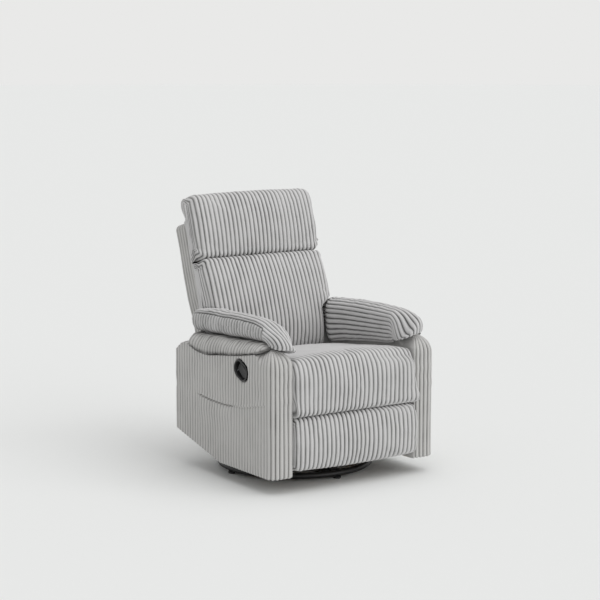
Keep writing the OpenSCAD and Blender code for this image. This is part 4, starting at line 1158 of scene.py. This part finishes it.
@dataclass
class Arm(Unit):
    """One arm: upholstered box, puckered flange strip and the pillow on top."""

    side: Side
    inner: float = 280.0
    outer: float = 380.0
    front: float = 410.0
    rear: float = 283.0
    skirt: float = 60.0
    skirt_rise: float = 80.0
    skirt_kink: float = 40.0
    dip: float = 474.0
    shoulder: float = 555.0
    corner_r: float = 36.0
    dome_start: float = -348.0
    dome_h: float = 84.0
    dome_inner_h: float = 66.0
    spine_x: float = 328.0
    hem_r: float = 9.0
    # Depth of the wales on the box, how much less it is on its outer face, and the cloth's sag
    box_relief: float = 5.6
    outer_less: float = 1.9
    box_sag: float = 1.7
    top_shares: tuple = (
        (0.986, -0.13), (0.952, 0.15), (0.903, 0.32), (0.837, 0.2), (0.776, 0.05), (0.646, 0), (0.534, 0.12),
        (0.303, 0.39), (0.143, 0.68), (0.094, 0.91), (0.055, 1), (0.02, 0.9), (0, 0.585),
    )
    flange_points: int = 64
    flange_relief: float = 2.8
    flange_shares: tuple = (
        (0.17, 0), (0.99, 0), (1, 0.2), (0.96, 0.5), (0.84, 0.8), (0.68, 1), (0.26, 1), (0.17, 0.8),
    )
    pillow_top: float = 642.0
    pillow_h: float = 96.0
    pillow_w: float = 112.0
    pillow_hang: float = 42.0
    pillow_front: float = 412.0
    pillow_rear: float = 200.0
    # Rows of the pillow from its rear end to its tip: share of its length, of its height down to its top
    # and from there to its underside, and share of its full width that is cut back
    pillow_shares: tuple = (
        (0, 0.5, 0.27, 0.55), (0.012, 0.27, 0.81, 0.5), (0.078, 0.155, 0.965, 0.45),
        (0.117, 0.13, 0.98, 0.12), (0.165, 0.1, 1, 0), (0.2, 0.085, 0.995, 0), (0.35, 0.03, 1, 0),
        (0.469, 0, 1, 0), (0.58, 0, 0.96, 0),
        (0.672, 0, 0.925, 0), (0.75, 0.04, 0.855, 0), (0.8125, 0.095, 0.78, 0), (0.89, 0.21, 0.655, 0),
        (0.931, 0.3, 0.595, 0), (0.961, 0.4, 0.535, 0), (0.984, 0.52, 0.43, 0), (0.995, 0.62, 0.3, 0),
        (1, 0.7, 0.15, 0),
    )
    nose_row: float = 11.0
    nose_taper: float = 0.16
    nose_drop: float = 0.85
    rear_bulge: float = 13.0
    # Depth of its wales along the top and across the gusset, and of the seam between them
    pillow_relief: float = 5.8
    pillow_proud: float = 1.2
    gusset_relief: float = 3.8
    seam_depth: float = 5.5
    pillow_slack: float = 4.0
    pillow_swell: float = 22.0
    coarse_every: int = 6
    seat_line: tuple = (
        (-420, 536), (-385, 528), (-336, 507), (-269, 498), (-134, 484), (6, 468), (90, 454), (165, 448),
    )
    gusset_front: float = -295.0
    slit_rear: float = 115.0
    slit_half: float = 9.0
    slit_points: tuple = (
        (-410, 343), (-371, 338), (-220, 306), (-70, 296), (30, 299), (115, 309), (283, 312),
    )

    def mirror(self, grid: Array) -> Array:
        """The right arm's points for this arm's side."""
        out = grid.copy()
        out[..., 0] *= self.side.value
        return out

    def top_line(self, y: Array) -> Array:
        """Height of the cover's top edge at Y."""
        line = curve(self.top_shares)
        ys = -self.front + line[:, 0] * (self.front + self.rear)
        zs = self.dip + line[:, 1] * (self.shoulder - self.dip)
        order = np.argsort(ys)
        return np.interp(y, ys[order], zs[order])

    def ridge(self, y: Array) -> Array:
        """Height of the cover's top along its middle: level ahead of the pillow, then along its edge."""
        level = self.shoulder - 4
        return np.where(y < self.dome_start, level, np.minimum(self.top_line(y), level))

    def eaves(self, x: Array, y: Array) -> Array:
        """Height where the cover's wall turns in: low round the dome, near the ridge under the pillow."""
        height = self.dome_h + (self.dome_inner_h - self.dome_h) * smoothstep(x, 325, 290)
        return self.ridge(y) - 5.0 - (height - 5.0) * smoothstep(y, -296, self.dome_start)

    def skirt_line(self, y: Array) -> Array:
        """Height of the cover's lower edge at Y."""
        share = np.clip((y + self.skirt_kink) / (self.rear + self.skirt_kink), 0, 1)
        return self.skirt + self.skirt_rise * share

    def slit_line(self, y: Array) -> Array:
        """Height of the sagging pocket seam at Y."""
        return np.interp(y, *np.array(self.slit_points, float).T)

    def plan(self) -> tuple[Array, Array, Array]:
        """The cover's outline from above, from the inner rear corner round the outside to the inner side.

        Returns:
            Its points, each one's length along the cloth, and how far wales stand there.
        """
        def arc(cx: float, cy: float, r: float, start: float, end: float) -> Array:
            """Points on a corner, by angles in degrees."""
            a = np.radians(np.linspace(start, end, 25))
            return np.stack([cx + r * np.cos(a), cy + r * np.sin(a)], axis=1)

        r = self.corner_r
        line = np.vstack([
            arc(self.inner + 6, self.rear - 6, 6, 180, 90),
            arc(self.outer - 10, self.rear - 10, 10, 90, 0),
            arc(self.outer - r, -self.front + r, r, 0, -90),
            arc(self.inner + 6, -self.front + 6, 6, -90, -180),
        ])
        total = lengths_of(line)[-1]
        fine = np.arange(0, total, WALE / STEPS_PER_WALE)
        points = at_lengths(line, fine)
        back = np.linspace(-self.front + 24, self.rear - 14, 52)
        inside = np.stack([np.full(52, self.inner), back], axis=1)
        along = np.concatenate([fine, total + 12 + (back - back[0])])
        weight = np.concatenate([np.ones(len(fine)), np.zeros(52)])
        return np.vstack([points, inside]), along, weight

    def box_grid(self, plan: Array, low: Array, slit: Array, high: Array) -> Array:
        """The box's plain surface: turned in under the skirt, up its walls, and over the top to its spine.

        Args:
            plan: its outline from above.
            low: height of each column's lower edge, above its hem.
            slit: height of the pocket seam there.
            high: height there where the wall starts to turn in.

        Returns:
            (column, row, 3) points.
        """
        y = plan[:, 1]
        front_y = -334 + (np.clip(y, -390, -250) + 390) / 140 * 84
        spine_y = np.where(y < -250, front_y, np.minimum(y, self.rear - 20))
        spine = np.stack([np.full(len(plan), self.spine_x), spine_y], axis=1)
        reach = np.linalg.norm(spine - plan, axis=1)
        inward = (spine - plan) / np.maximum(reach, 1e-6)[:, None]
        top, gap, still = self.ridge(spine_y), self.slit_half, np.zeros(len(plan))
        rows: list[Array] = []

        def add(distance: Array, z: Array | None = None, lift: float | Array = 0.0) -> None:
            """Adds a row at a distance in from the outline: at heights, or else over the skirt's edge."""
            p = plan + inward * distance[:, None]
            rows.append(np.column_stack([p, self.skirt_line(p[:, 1]) + lift if z is None else z]))

        hem = np.full(len(plan), self.hem_r)
        for k in range(4):
            add(hem + (reach - hem) * (1 - k / 4))
        for k in range(4):
            a = math.pi / 2 * k / 4
            add(hem * (1 - math.sin(a)), lift=hem * (1 - math.cos(a)))
        for t in np.linspace(0, 1, 16, endpoint=False):
            add(still, low + (slit - gap - low) * t)
        for t in np.linspace(-gap, gap, 10, endpoint=False):
            add(still, slit + t)
        for t in np.linspace(0, 1, 46, endpoint=False):
            add(still, slit + gap + (high - slit - gap) * t)
        for a in math.pi / 2 * np.arange(25) / 24:
            add(reach * (1 - math.cos(a)), high + (top - high) * math.sin(a) ** 0.9)
        return np.stack(rows, axis=1)

    def cover(self) -> None:
        """Builds the upholstered arm box."""
        plan, along, weight = self.plan()
        x, y = plan[:, 0], plan[:, 1]
        loop = np.vstack([plan[-1:], plan, plan[:1]])
        ahead = loop[2:] - loop[:-2]
        out = np.stack([ahead[:, 1], -ahead[:, 0]], axis=1) / np.linalg.norm(ahead, axis=1, keepdims=True)
        out *= -1 if (out * (plan - plan.mean(axis=0))).sum() < 0 else 1
        low, high = self.skirt_line(y) + self.hem_r, self.eaves(x, y)
        grid = self.box_grid(plan, low, self.slit_line(y), high)
        normal = grid_normals(grid, Edge.OPEN)
        width = np.linalg.norm(np.gradient(grid, axis=0), axis=2) * STEPS_PER_WALE
        amount = np.clip((width / WALE) ** 1.2, 0, 1) * weight[:, None]
        outside = smoothstep(out[:, 0], 0.75, 0.98)[:, None]
        z = grid[:, :, 2]
        wall = smoothstep(z, low[:, None] - 9, low[:, None] + 30) * smoothstep(high[:, None] - z, 0, 50)
        full = self.box_relief - self.outer_less * outside
        height = rib_height(along / WALE)[:, None] * np.ones((1, grid.shape[1]))
        sag = soft_noise(grid.shape[:2], (20, 9), 21 + self.side.value) * self.box_sag * weight[:, None]
        fold = self.pocket_folds(grid) * outside if self.side is Side.LEFT else np.zeros(grid.shape[:2])
        grid = grid + normal * (full * amount * (height - 1) + sag * wall + fold)[:, :, None]
        if self.side is Side.LEFT:
            grid[:, :, 0] -= self.handle_well(grid) * outside
        # Valleys are painted darker, partly the pile's own tone and partly painted shade; on the broad outer
        # face they are painted less dark than on the front
        rib = 1 - (1 - height) * np.clip(amount, 0, 1) * (1 - 0.26 * outside)
        grid, rib = np.concatenate([grid, grid[:1]]), np.concatenate([rib, rib[:1]])
        self.soft("box_cover", grid, Edge.OPEN, rib, Finish.SIDE_CORDUROY, "cover", 0.9)

    def soft(
        self, name: str, grid: Array, edge: Edge, rib: Array, finish: Finish, node: str, fill: float
    ) -> None:
        """Makes one of the arm's soft pieces.

        Args:
            name: its name after the side's.
            grid: its points, as on the right arm.
            edge: how its second direction ends.
            rib: height of the wales at each point, 0 to 1.
            finish: its corduroy.
            node: the frame node that it replaces, after the side's name.
            fill: how full it is; not used.
        """
        piece = mesh_piece(f"{self.side.word}_arm_{name}", self.mirror(grid), edge, {"rib": rib})
        self.place(piece, finish, "chassis", f"{self.side.word}_arm_{node}")

    def pocket_folds(self, grid: Array) -> Array:
        """How the cloth dips into the pocket's mouth and bags out below it, mm."""
        y, z = grid[:, :, 1], grid[:, :, 2]
        away = z - self.slit_line(y)
        rear = smoothstep(y, self.slit_rear + 4, self.slit_rear - 20)
        mouth, seam = rear * smoothstep(y, -150, -110), rear * smoothstep(y, -378, -350)

        def ridge(middle: float | Array, reach: float) -> Array:
            """A fold's section round a height off the seam."""
            return np.exp(-((away - middle) / reach) ** 2)

        dip = -9.0 * ridge(-1.5, 2.6) * mouth - 2.6 * ridge(0, 3.2) * seam
        lip = 2.2 * ridge(8, 6.0) * seam
        bag = 4.5 * ridge(-42, 36.0) * mouth * (away < 0)
        crease = -2.4 * ridge(-22 - 0.13 * (y - 20), 6.0) * smoothstep(y, 40, 0) * smoothstep(y, -170, -120)
        return dip + lip + bag + crease

    def handle_well(self, grid: Array) -> Array:
        """How far the cloth is drawn in to make room for the handle's cup, mm."""
        place = HANDLE
        a = math.radians(place.tilt)
        dy, dz = grid[:, :, 1] - place.y, grid[:, :, 2] - place.z - place.cup_up
        along = dy * math.cos(a) + dz * math.sin(a) - place.shift
        across = -dy * math.sin(a) + dz * math.cos(a)
        straight = (place.well_l - place.well_w) / 2
        away = np.hypot(np.maximum(np.abs(along) - straight, 0), across) - place.well_w / 2
        return 29.0 * smoothstep(away, 6.0, 0.5) + 1.5 * smoothstep(away, 14.0, 6.0)

    def flange(self) -> None:
        """Builds the puckered strip between the box and the pillow."""
        ys = np.arange(192.0, -(self.front - 78.0), -WALE / STEPS_PER_WALE)
        under = self.pillow_under(ys) - 0.3
        low = self.top_line(ys) + 0.3
        shape, section = np.array(self.flange_shares), np.array([100.0, 60.0])
        line = np.vstack([shape[:1], curve(shape[1:7], 6), shape[7:]])
        loop = evenly(line * section, self.flange_points, closed=True) / section
        grid = np.zeros((len(ys), len(loop), 3))
        grid[:, :, 0] = self.inner + loop[None, :, 0] * (self.outer - self.inner)
        grid[:, :, 1] = ys[:, None]
        grid[:, :, 2] = low[:, None] + loop[None, :, 1] * (under - low)[:, None]
        taper = np.minimum(smoothstep(ys, 194, 176), smoothstep(ys, -334, -306))
        middle = np.stack([np.full(len(ys), self.inner + 52), ys, (low + under) / 2], axis=1)[:, None]
        grid = middle + (grid - middle) * (0.72 + 0.28 * taper)[:, None, None]
        normal = grid_normals(grid, Edge.CLOSED)
        height = rib_height(ys / WALE)[:, None] * np.ones((1, len(loop)))
        edge = np.clip(1.6 * np.abs(loop[:, 1] - 0.5), 0, 1)[None, :]
        pucker = soft_noise(grid.shape[:2], (60, 6), 31 + self.side.value) * 3.6 * edge
        pucker = pucker + soft_noise(grid.shape[:2], (17, 4), 41) * 2.6
        grid = grid + normal * (self.flange_relief * (height - 1) + pucker)[:, :, None]
        grid[:, :, 0] = np.minimum(grid[:, :, 0], self.outer + 2.0)
        # The strip is painted darker in the seams under and over it, as painted shade
        share = loop[:, 1]
        seam_shade = 0.75 * np.exp(-((share - 0.04) / 0.13) ** 2) + 0.3 * np.exp(-((share - 1) / 0.15) ** 2)
        rib = np.concatenate([height[:1], height, height[-1:]], axis=0) * 0.72 + 0.14
        rib = rib * (1 - seam_shade)[None, :]
        self.soft("flange_strip", capped(grid), Edge.CLOSED, rib, Finish.SIDE_CORDUROY, "flange", 0.6)

    def pillow_under(self, y: Array) -> Array:
        """Height of the pillow's underside at Y."""
        rows = [q for q in self.pillow_shares if q[2] > 0.6]
        ys = np.array([self.pillow_rear - q[0] * (self.pillow_rear + self.pillow_front) for q in rows])
        zs = np.array([self.pillow_top - (q[1] + q[2]) * self.pillow_h for q in rows])
        return np.interp(y, ys[::-1], zs[::-1])

    def pillow_sections(self, where: Array, angles: Array, slack: float) -> Array:
        """Sections of the pillow from its rear end to its tip.

        Args:
            where: places along the pillow, in rows of its table.
            angles: directions round the section, degrees, 0 outwards and 90 up.
            slack: how far the cover is drawn in, mm.

        Returns:
            (station, point, 3) points.
        """
        last = len(self.pillow_shares) - 1
        y, top, bottom, over = self.side_view(np.minimum(where, self.nose_row))
        foot, head = np.stack([y, bottom], axis=1), np.stack([y, top], axis=1)
        # Over the nose the sections fan out about its underside, so the wales run on over the front
        y_top, z_top, _, _ = self.side_view(np.clip(where, 0, last))
        y_low, _, z_low, _ = self.side_view(last - 1.7 * np.clip(where - last, 0, 1))
        turn = smoothstep(where, last, last + 0.35)[:, None]
        fan = (1 - turn) * np.stack([y_top, z_top], axis=1) + turn * np.stack([y_low, z_low], axis=1)
        head = np.where((where > self.nose_row)[:, None], fan, head)
        edge = self.inner - self.pillow_hang
        inner = edge + over * (self.pillow_hang + 3.3) - self.rear_bulge * np.exp(-(((y - 95) / 50) ** 2))
        outer = edge + self.pillow_w
        past = np.clip((where - self.nose_row) / (last + 1 - self.nose_row), 0, 1)
        end = np.sqrt(1 - np.clip(1 - where / 2.2, 0, 1) ** 2)
        half = (outer - inner) / 2 * (1 - self.nose_taper * past**1.5) * (0.5 + 0.5 * end) - slack
        span = np.linalg.norm(head - foot, axis=1)
        way = (head - foot) / span[:, None]
        thick = np.maximum(span / 2 - slack, 2.0)
        middle = (head + foot) / 2
        c, s = np.cos(np.radians(angles)), np.sin(np.radians(angles))
        grid = np.zeros((len(where), len(angles), 3))
        grid[:, :, 0] = ((outer + inner) / 2)[:, None] + half[:, None] * self.squared(c)[None]
        up = thick[:, None] * self.squared(s)[None]
        grid[:, :, 1:] = middle[:, None] + up[:, :, None] * way[:, None]
        # The cover hangs down inside the arm to the seat, as one flap with the pillow's inner face
        line = np.array(self.seat_line)
        low = middle[:, 1] - 0.86 * thick
        hang = np.maximum(low - np.interp(y, line[:, 0], line[:, 1]) - slack, 0) * (1 - over)
        flap = smoothstep(angles, 178, 216) * smoothstep(angles, 264, 236)
        # Over the nose the inner wales come down as far, and the outer ones stay up
        seat = np.interp(grid[:, :, 1], line[:, 0], line[:, 1])
        inward = smoothstep(-c, -0.4, 1.0)[None]
        nose = np.maximum(grid[:, :, 2] - seat - slack - 1, 0) * inward * self.nose_drop
        ahead = smoothstep(past, 0.0, 0.5)[:, None]
        grid[:, :, 2] -= (1 - ahead) * hang[:, None] * flap[None] + ahead * nose
        return grid

    def side_view(self, where: Array) -> tuple[Array, Array, Array, Array]:
        """Y, top, underside and share of the width cut back, at places in the pillow's table."""
        q = catmull(np.array(self.pillow_shares), where)
        share = np.clip(q[:, 0], 0, 1)
        lift = self.nose_lift * smoothstep(share, 0.66, 0.92)
        lift = lift + 0.3 * self.rear_fill * smoothstep(share, 0.4, 0.05)
        top = self.pillow_top - q[:, 1] * self.pillow_h + lift
        deep = np.maximum(q[:, 2] * self.pillow_h + 0.7 * lift * smoothstep(q[:, 2], 0.1, 0.4), 9.0)
        y = self.pillow_rear - share * (self.pillow_rear + self.pillow_front)
        y = y + self.rear_fill * smoothstep(share, 0.12, 0.0)
        return y, top, top - deep, np.clip(q[:, 3], 0, 1)

    @property
    def rear_fill(self) -> float:
        """How much further back than the plain form this pillow's rear end is, mm."""
        return 3.0 if self.side is Side.RIGHT else 22.0

    @property
    def nose_lift(self) -> float:
        """How much plumper than the plain form this pillow's front is, mm."""
        return 9.0 if self.side is Side.RIGHT else -13.0

    @staticmethod
    def squared(value: Array) -> Array:
        """A sine or cosine bent so that the section is rounder at its corners than an ellipse."""
        return np.sign(value) * np.abs(value) ** 0.77

    def pillow_form(self, where: Array, few: Array, angles: Array) -> Array:
        """The stuffed pillow before its wales, swollen by a simulation except in the quick form.

        Args:
            where: places along the pillow, in rows of its table.
            few: fewer such places, for the simulation.
            angles: directions round the section, degrees.

        Returns:
            (station, point, 3) points.
        """
        slack, every, around = self.pillow_slack, self.coarse_every, len(angles)
        coarse_angles = angles[::every]
        closed = capped(self.pillow_sections(few, coarse_angles, slack))
        held = np.zeros(closed.shape[:2])
        held[:3], held[-1:] = 1.0, 1.0
        # It lies on the flange with its underside
        held[:, (coarse_angles > 214) & (coarse_angles < 345)] = 1.0
        shift = plumped(closed, held, self.pillow_swell)[1:-1]
        columns = np.arange(len(coarse_angles)) * every / around
        swell = spread(shift, few, columns, where, np.arange(around) / around)
        return self.pillow_sections(where, angles, slack) + swell

    def pillow(self) -> None:
        """Builds the arm pillow: lengthwise wales over its top and tip, upright ones on its gusset."""
        last = len(self.pillow_shares) - 1
        dense = np.linspace(0, last + 1, 800)
        middle = self.pillow_sections(dense, np.array([90.0]), 0.0)[:, 0]
        along = lengths_of(middle)
        count = int(along[-1] / WALE * STEPS_PER_WALE)
        where, few = (np.interp(np.linspace(0, along[-1], n), along, dense) for n in (count, 52))
        girth_at = np.linspace(0, 360, 721)
        length = lengths_of(self.pillow_sections(np.array([7.0]), girth_at, 0.0)[0])
        around = round(length[-1] / WALE) * STEPS_PER_WALE
        angles = np.interp(np.linspace(0, length[-1], around, endpoint=False), length, girth_at)
        grid = self.pillow_form(where, few, angles)
        y = grid[:, :, 1]
        down = smoothstep(y, self.gusset_front + 12, self.gusset_front - 22)
        seam_angle = 40.0 - 100.0 * down
        turned = np.where(angles > 200, angles - 360, angles)[None, :]
        gusset = smoothstep(seam_angle - turned, -1.5, 1.5) * smoothstep(turned, -100, -92) * (down < 0.98)
        normal = grid_normals(grid, Edge.CLOSED)
        width = np.linalg.norm(np.roll(grid, -1, axis=1) - grid, axis=2) * STEPS_PER_WALE
        amount = np.clip((width / WALE) ** 1.1, 0, 1.15)
        long_ribs = rib_height(np.arange(around) / STEPS_PER_WALE + 0.5)[None, :] * np.ones((count, 1))
        upright = rib_height(np.linspace(0, along[-1], count) / WALE)[:, None] * np.ones((1, around))
        seam = np.exp(-((turned - seam_angle) / 4.5) ** 2) * (down < 0.98) * (turned > -95)
        ends = smoothstep(np.linspace(0, along[-1], count), 0, 16)[:, None]
        depth = (self.pillow_relief * (long_ribs - 1) + self.pillow_proud) * amount * (1 - gusset)
        depth = depth + self.gusset_relief * (upright - 1) * gusset - self.seam_depth * seam
        depth += soft_noise(grid.shape[:2], (30, 12), 51 + self.side.value) * 1.4
        depth += soft_noise(grid.shape[:2], (64, 9), 61) * 1.5 * gusset
        # Where the fan's sections meet there is no surface to raise
        open_part = smoothstep(np.linalg.norm(np.gradient(grid, axis=0), axis=2), 0.2, 1.1)
        grid = grid + normal * (depth * ends * open_part)[:, :, None]
        # Valleys are painted darker, partly the pile's own tone and partly painted shade, and the seam
        # between top and gusset is painted darker still as shade
        rib = (1 - (1 - long_ribs) * np.clip(amount, 0, 1)) * (1 - gusset)
        rib = rib + (0.84 - 0.62 * (1 - upright)) * gusset
        rib = 0.62 + (rib * (1 - 0.85 * seam) - 0.62) * ends
        rib = np.concatenate([rib[:1], rib, rib[-1:]], axis=0)
        self.soft("pillow_cover", capped(grid), Edge.CLOSED, rib, Finish.CORDUROY, "pillow", 0.8)

    def build(self) -> None:
        """Builds the arm's three soft pieces."""
        self.cover()
        self.flange()
        self.pillow()


@dataclass
class ReleaseHandle(Unit):
    """Recessed release handle in the left arm, and the pocket behind it."""

    face: float = -380.0
    place_at: HandlePlace = HANDLE
    paddle_l: float = 65.0
    paddle_w: float = 37.0
    paddle_shift: float = 7.0
    pin_at: float = 35.0
    pin_deep: float = 9.0
    points: int = 64

    def across_arm(self, along: Array, across: Array, tilt: float) -> tuple[Array, Array]:
        """Y and Z of points given along and across an axis that leans up towards the rear by tilt."""
        a = math.radians(tilt)
        y = self.place_at.y + along * math.cos(a) - across * math.sin(a)
        z = self.place_at.z + along * math.sin(a) + across * math.cos(a)
        return y, z

    def rings(self, table: Sequence[tuple[float, float, float]], shift: float, tilt: float) -> Array:
        """Round-ended rings of the handle as points in the chair's frame.

        Args:
            table: height out of the arm's face, length and width of each ring, mm.
            shift: how far the rings' middle lies up the tilted axis, mm.
            tilt: how far the axis leans up towards the rear, degrees.

        Returns:
            (ring, point, 3) points.
        """
        angle = np.linspace(0, 2 * math.pi, self.points, endpoint=False)
        side = np.where(np.abs(np.cos(angle)) < 1e-9, 0, np.sign(np.cos(angle)))
        out = []
        for high, length, width in table:
            along = side * (length - width) / 2 + width / 2 * np.cos(angle) + shift
            y, z = self.across_arm(along, width / 2 * np.sin(angle), tilt)
            out.append(np.column_stack([np.full(self.points, self.face - high), y, z]))
        return np.stack(out)

    def cup(self) -> None:
        """Builds the moulded cup and its bezel as one shell."""
        at = self.place_at
        l, w = at.cup_l, at.cup_w
        # Height out of the arm's face, and how much smaller than the bezel each ring is
        steps = [
            (-26.5, 22), (-25, 17), (-2, 14), (0.4, 12), (0.4, 1), (1.4, 0), (2.6, 1), (3.4, 4), (3.4, 9),
            (2.4, 12), (-1, 14), (-20, 19), (-22.5, 22), (-23.5, 30),
        ]
        table = [(high, l - less, w - less) for high, less in steps]
        table = [(-26.5, l - w, 0.0), *table, (-23.5, l - w, 0.0)]
        rings = self.rings(table, at.shift, at.tilt) + np.array([0, 0, at.cup_up])
        piece = mesh_piece("handle_cup_moulded", rings, Edge.CLOSED)
        self.place(piece, Finish.BLACK_PLASTIC, "chassis", "handle_cup")

    def paddle(self) -> None:
        """Builds the dished paddle with its pin barrel."""
        d, l, w = -self.pin_deep, self.paddle_l, self.paddle_w
        steps = [(-2, 4), (-1, 1), (1, 0), (2.4, 2), (2.8, 6), (1.6, 14), (1.0, 20)]
        table = [(d + high, l - less, w - less) for high, less in steps]
        table = [(d - 2, l - w, 0.0), *table, (d + 1.0, l - w, 0.0)]
        tilt = self.place_at.pin_tilt
        plate = mesh_piece("handle_paddle_moulded", self.rings(table, self.paddle_shift, tilt), Edge.CLOSED)
        turn = np.linspace(0, 2 * math.pi, 24, endpoint=False)
        rows = []
        for across, r in ((-17.5, 0.0), (-17.5, 3.2), (-16.5, 4.0), (16.5, 4.0), (17.5, 3.2), (17.5, 0.0)):
            y, z = self.across_arm(self.pin_at + r * np.cos(turn), across, tilt)
            rows.append(np.column_stack([self.face - d + r * np.sin(turn), y, z]))
        barrel = mesh_piece("handle_barrel", np.stack(rows), Edge.CLOSED)
        plate = joined("handle_paddle_moulded", [plate, barrel])
        self.place(plate, Finish.BLACK_PLASTIC, "handle", "handle_paddle")

    def build(self) -> None:
        """Builds the cup and paddle, and dresses the pin and pocket."""
        self.cup()
        self.paddle()
        self.dress(Finish.ZINC, "handle_pin")
        self.dress(Finish.POCKET_CLOTH, "pocket_pouch")


@dataclass
class Studio:
    """Pale floor, soft lamps and the camera at the photograph's place."""

    eye: tuple[float, float, float] = (-4.156, -6.199, 1.780)
    aim: tuple[float, float, float] = (0.0254, 0.0, 0.6552)
    lit: tuple[float, float, float] = (0.0, 0.0, 0.5)
    lens: float = 115.2
    sensor: float = 36.0
    backdrop: str = "e9e9e8"
    paint: MattPaint = MattPaint("paint_rolled_matt_pale", "ecedec")
    floor_radii: tuple = (0.0, 1.0, 3.0, 8.0, 40.0)

    @staticmethod
    def aimed(name: str, data: bpy.types.ID, at: Sequence[float], aim: Sequence[float]) -> bpy.types.Object:
        """A camera or lamp in the scene, turned from its place towards another, both in metres."""
        thing = bpy.data.objects.new(name, data)
        bpy.context.scene.collection.objects.link(thing)
        thing.location = at
        thing.rotation_euler = (Vector(aim) - Vector(at)).to_track_quat("-Z", "Y").to_euler()
        return thing

    def camera(self) -> None:
        """Places the camera where the photograph was taken from."""
        data = bpy.data.cameras.new("photograph_camera")
        data.lens, data.sensor_width = self.lens, self.sensor
        bpy.context.scene.camera = self.aimed("photograph_camera", data, self.eye, self.aim)

    def lamp(self, name: str, at: tuple[float, float, float], width: float, strength: float) -> None:
        """Adds a wide, even bank of light from one direction, so that the floor is lit alike everywhere.

        Args:
            name: its name.
            at: where it stands, metres; only its direction matters.
            width: how wide the bank looks from the chair, degrees.
            strength: light on a surface that faces it, W/m2.
        """
        data = bpy.data.lights.new(name, "SUN")
        data.angle, data.energy = math.radians(width), strength
        self.aimed(name, data, at, self.lit)

    def floor(self) -> None:
        """Adds the round pale floor."""
        angles, radii = np.linspace(0, 2 * math.pi, 65), np.array(self.floor_radii)
        flat = np.zeros((len(radii), len(angles)))
        grid = np.stack([np.outer(radii, np.cos(angles)), np.outer(radii, np.sin(angles)), flat], axis=2) / MM
        floor = mesh_piece("studio_floor", grid, Edge.OPEN)
        floor.data.materials.append(self.paint.make())

    def world(self) -> None:
        """Lights the room evenly and shows a pale backdrop to the camera and in reflections."""
        world = bpy.data.worlds.new("studio_room")
        bpy.context.scene.world = world
        world.use_nodes = True
        tree = world.node_tree
        tree.nodes.clear()
        path = add_node(tree, "ShaderNodeLightPath").outputs
        either = {"operation": "MAXIMUM"}
        seen = add_node(tree, "ShaderNodeMath", either, {0: path["Is Camera Ray"], 1: path["Is Glossy Ray"]})
        links = {0: seen.outputs["Value"], 1: path["Is Transmission Ray"]}
        seen = add_node(tree, "ShaderNodeMath", either, links)
        fill = add_node(tree, "ShaderNodeBackground", {"Color": (1.0, 1.0, 1.0, 1.0), "Strength": 0.5})
        shown = add_node(tree, "ShaderNodeBackground", {"Color": linear(self.backdrop), "Strength": 1.0})
        links = {0: seen.outputs["Value"], 1: fill.outputs["Background"], 2: shown.outputs["Background"]}
        mix = add_node(tree, "ShaderNodeMixShader", links=links)
        add_node(tree, "ShaderNodeOutputWorld", links={"Surface": mix.outputs["Shader"]})

    def build(self) -> None:
        """Builds the studio."""
        self.camera()
        self.floor()
        self.world()
        self.lamp("overhead_light_bank", (0.5, -0.6, 4.0), 70.0, 1.15)
        self.lamp("front_light_bank", (2.2, -5.0, 3.0), 60.0, 0.75)
        bpy.context.scene.view_settings.view_transform = "Standard"


def main() -> None:
    """Builds the chair's units in order, then the studio."""
    logging.basicConfig(level=logging.INFO, format="%(name)s %(message)s")
    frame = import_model()
    nodes = frame["nodes"]
    units: list[Unit] = [
        SwivelBase(nodes),
        Mechanism(nodes),
        SeatCushion(nodes),
        Back(nodes),
        FootrestPad(nodes),
        Arm(nodes, Side.LEFT),
        Arm(nodes, Side.RIGHT, outer=384.0),
        ReleaseHandle(nodes),
    ]
    for unit in units:
        unit.build()
        log.info("%s built", type(unit).__name__)
    Studio().build()
    bpy.context.view_layer.update()


if __name__ == "__main__":
    main()
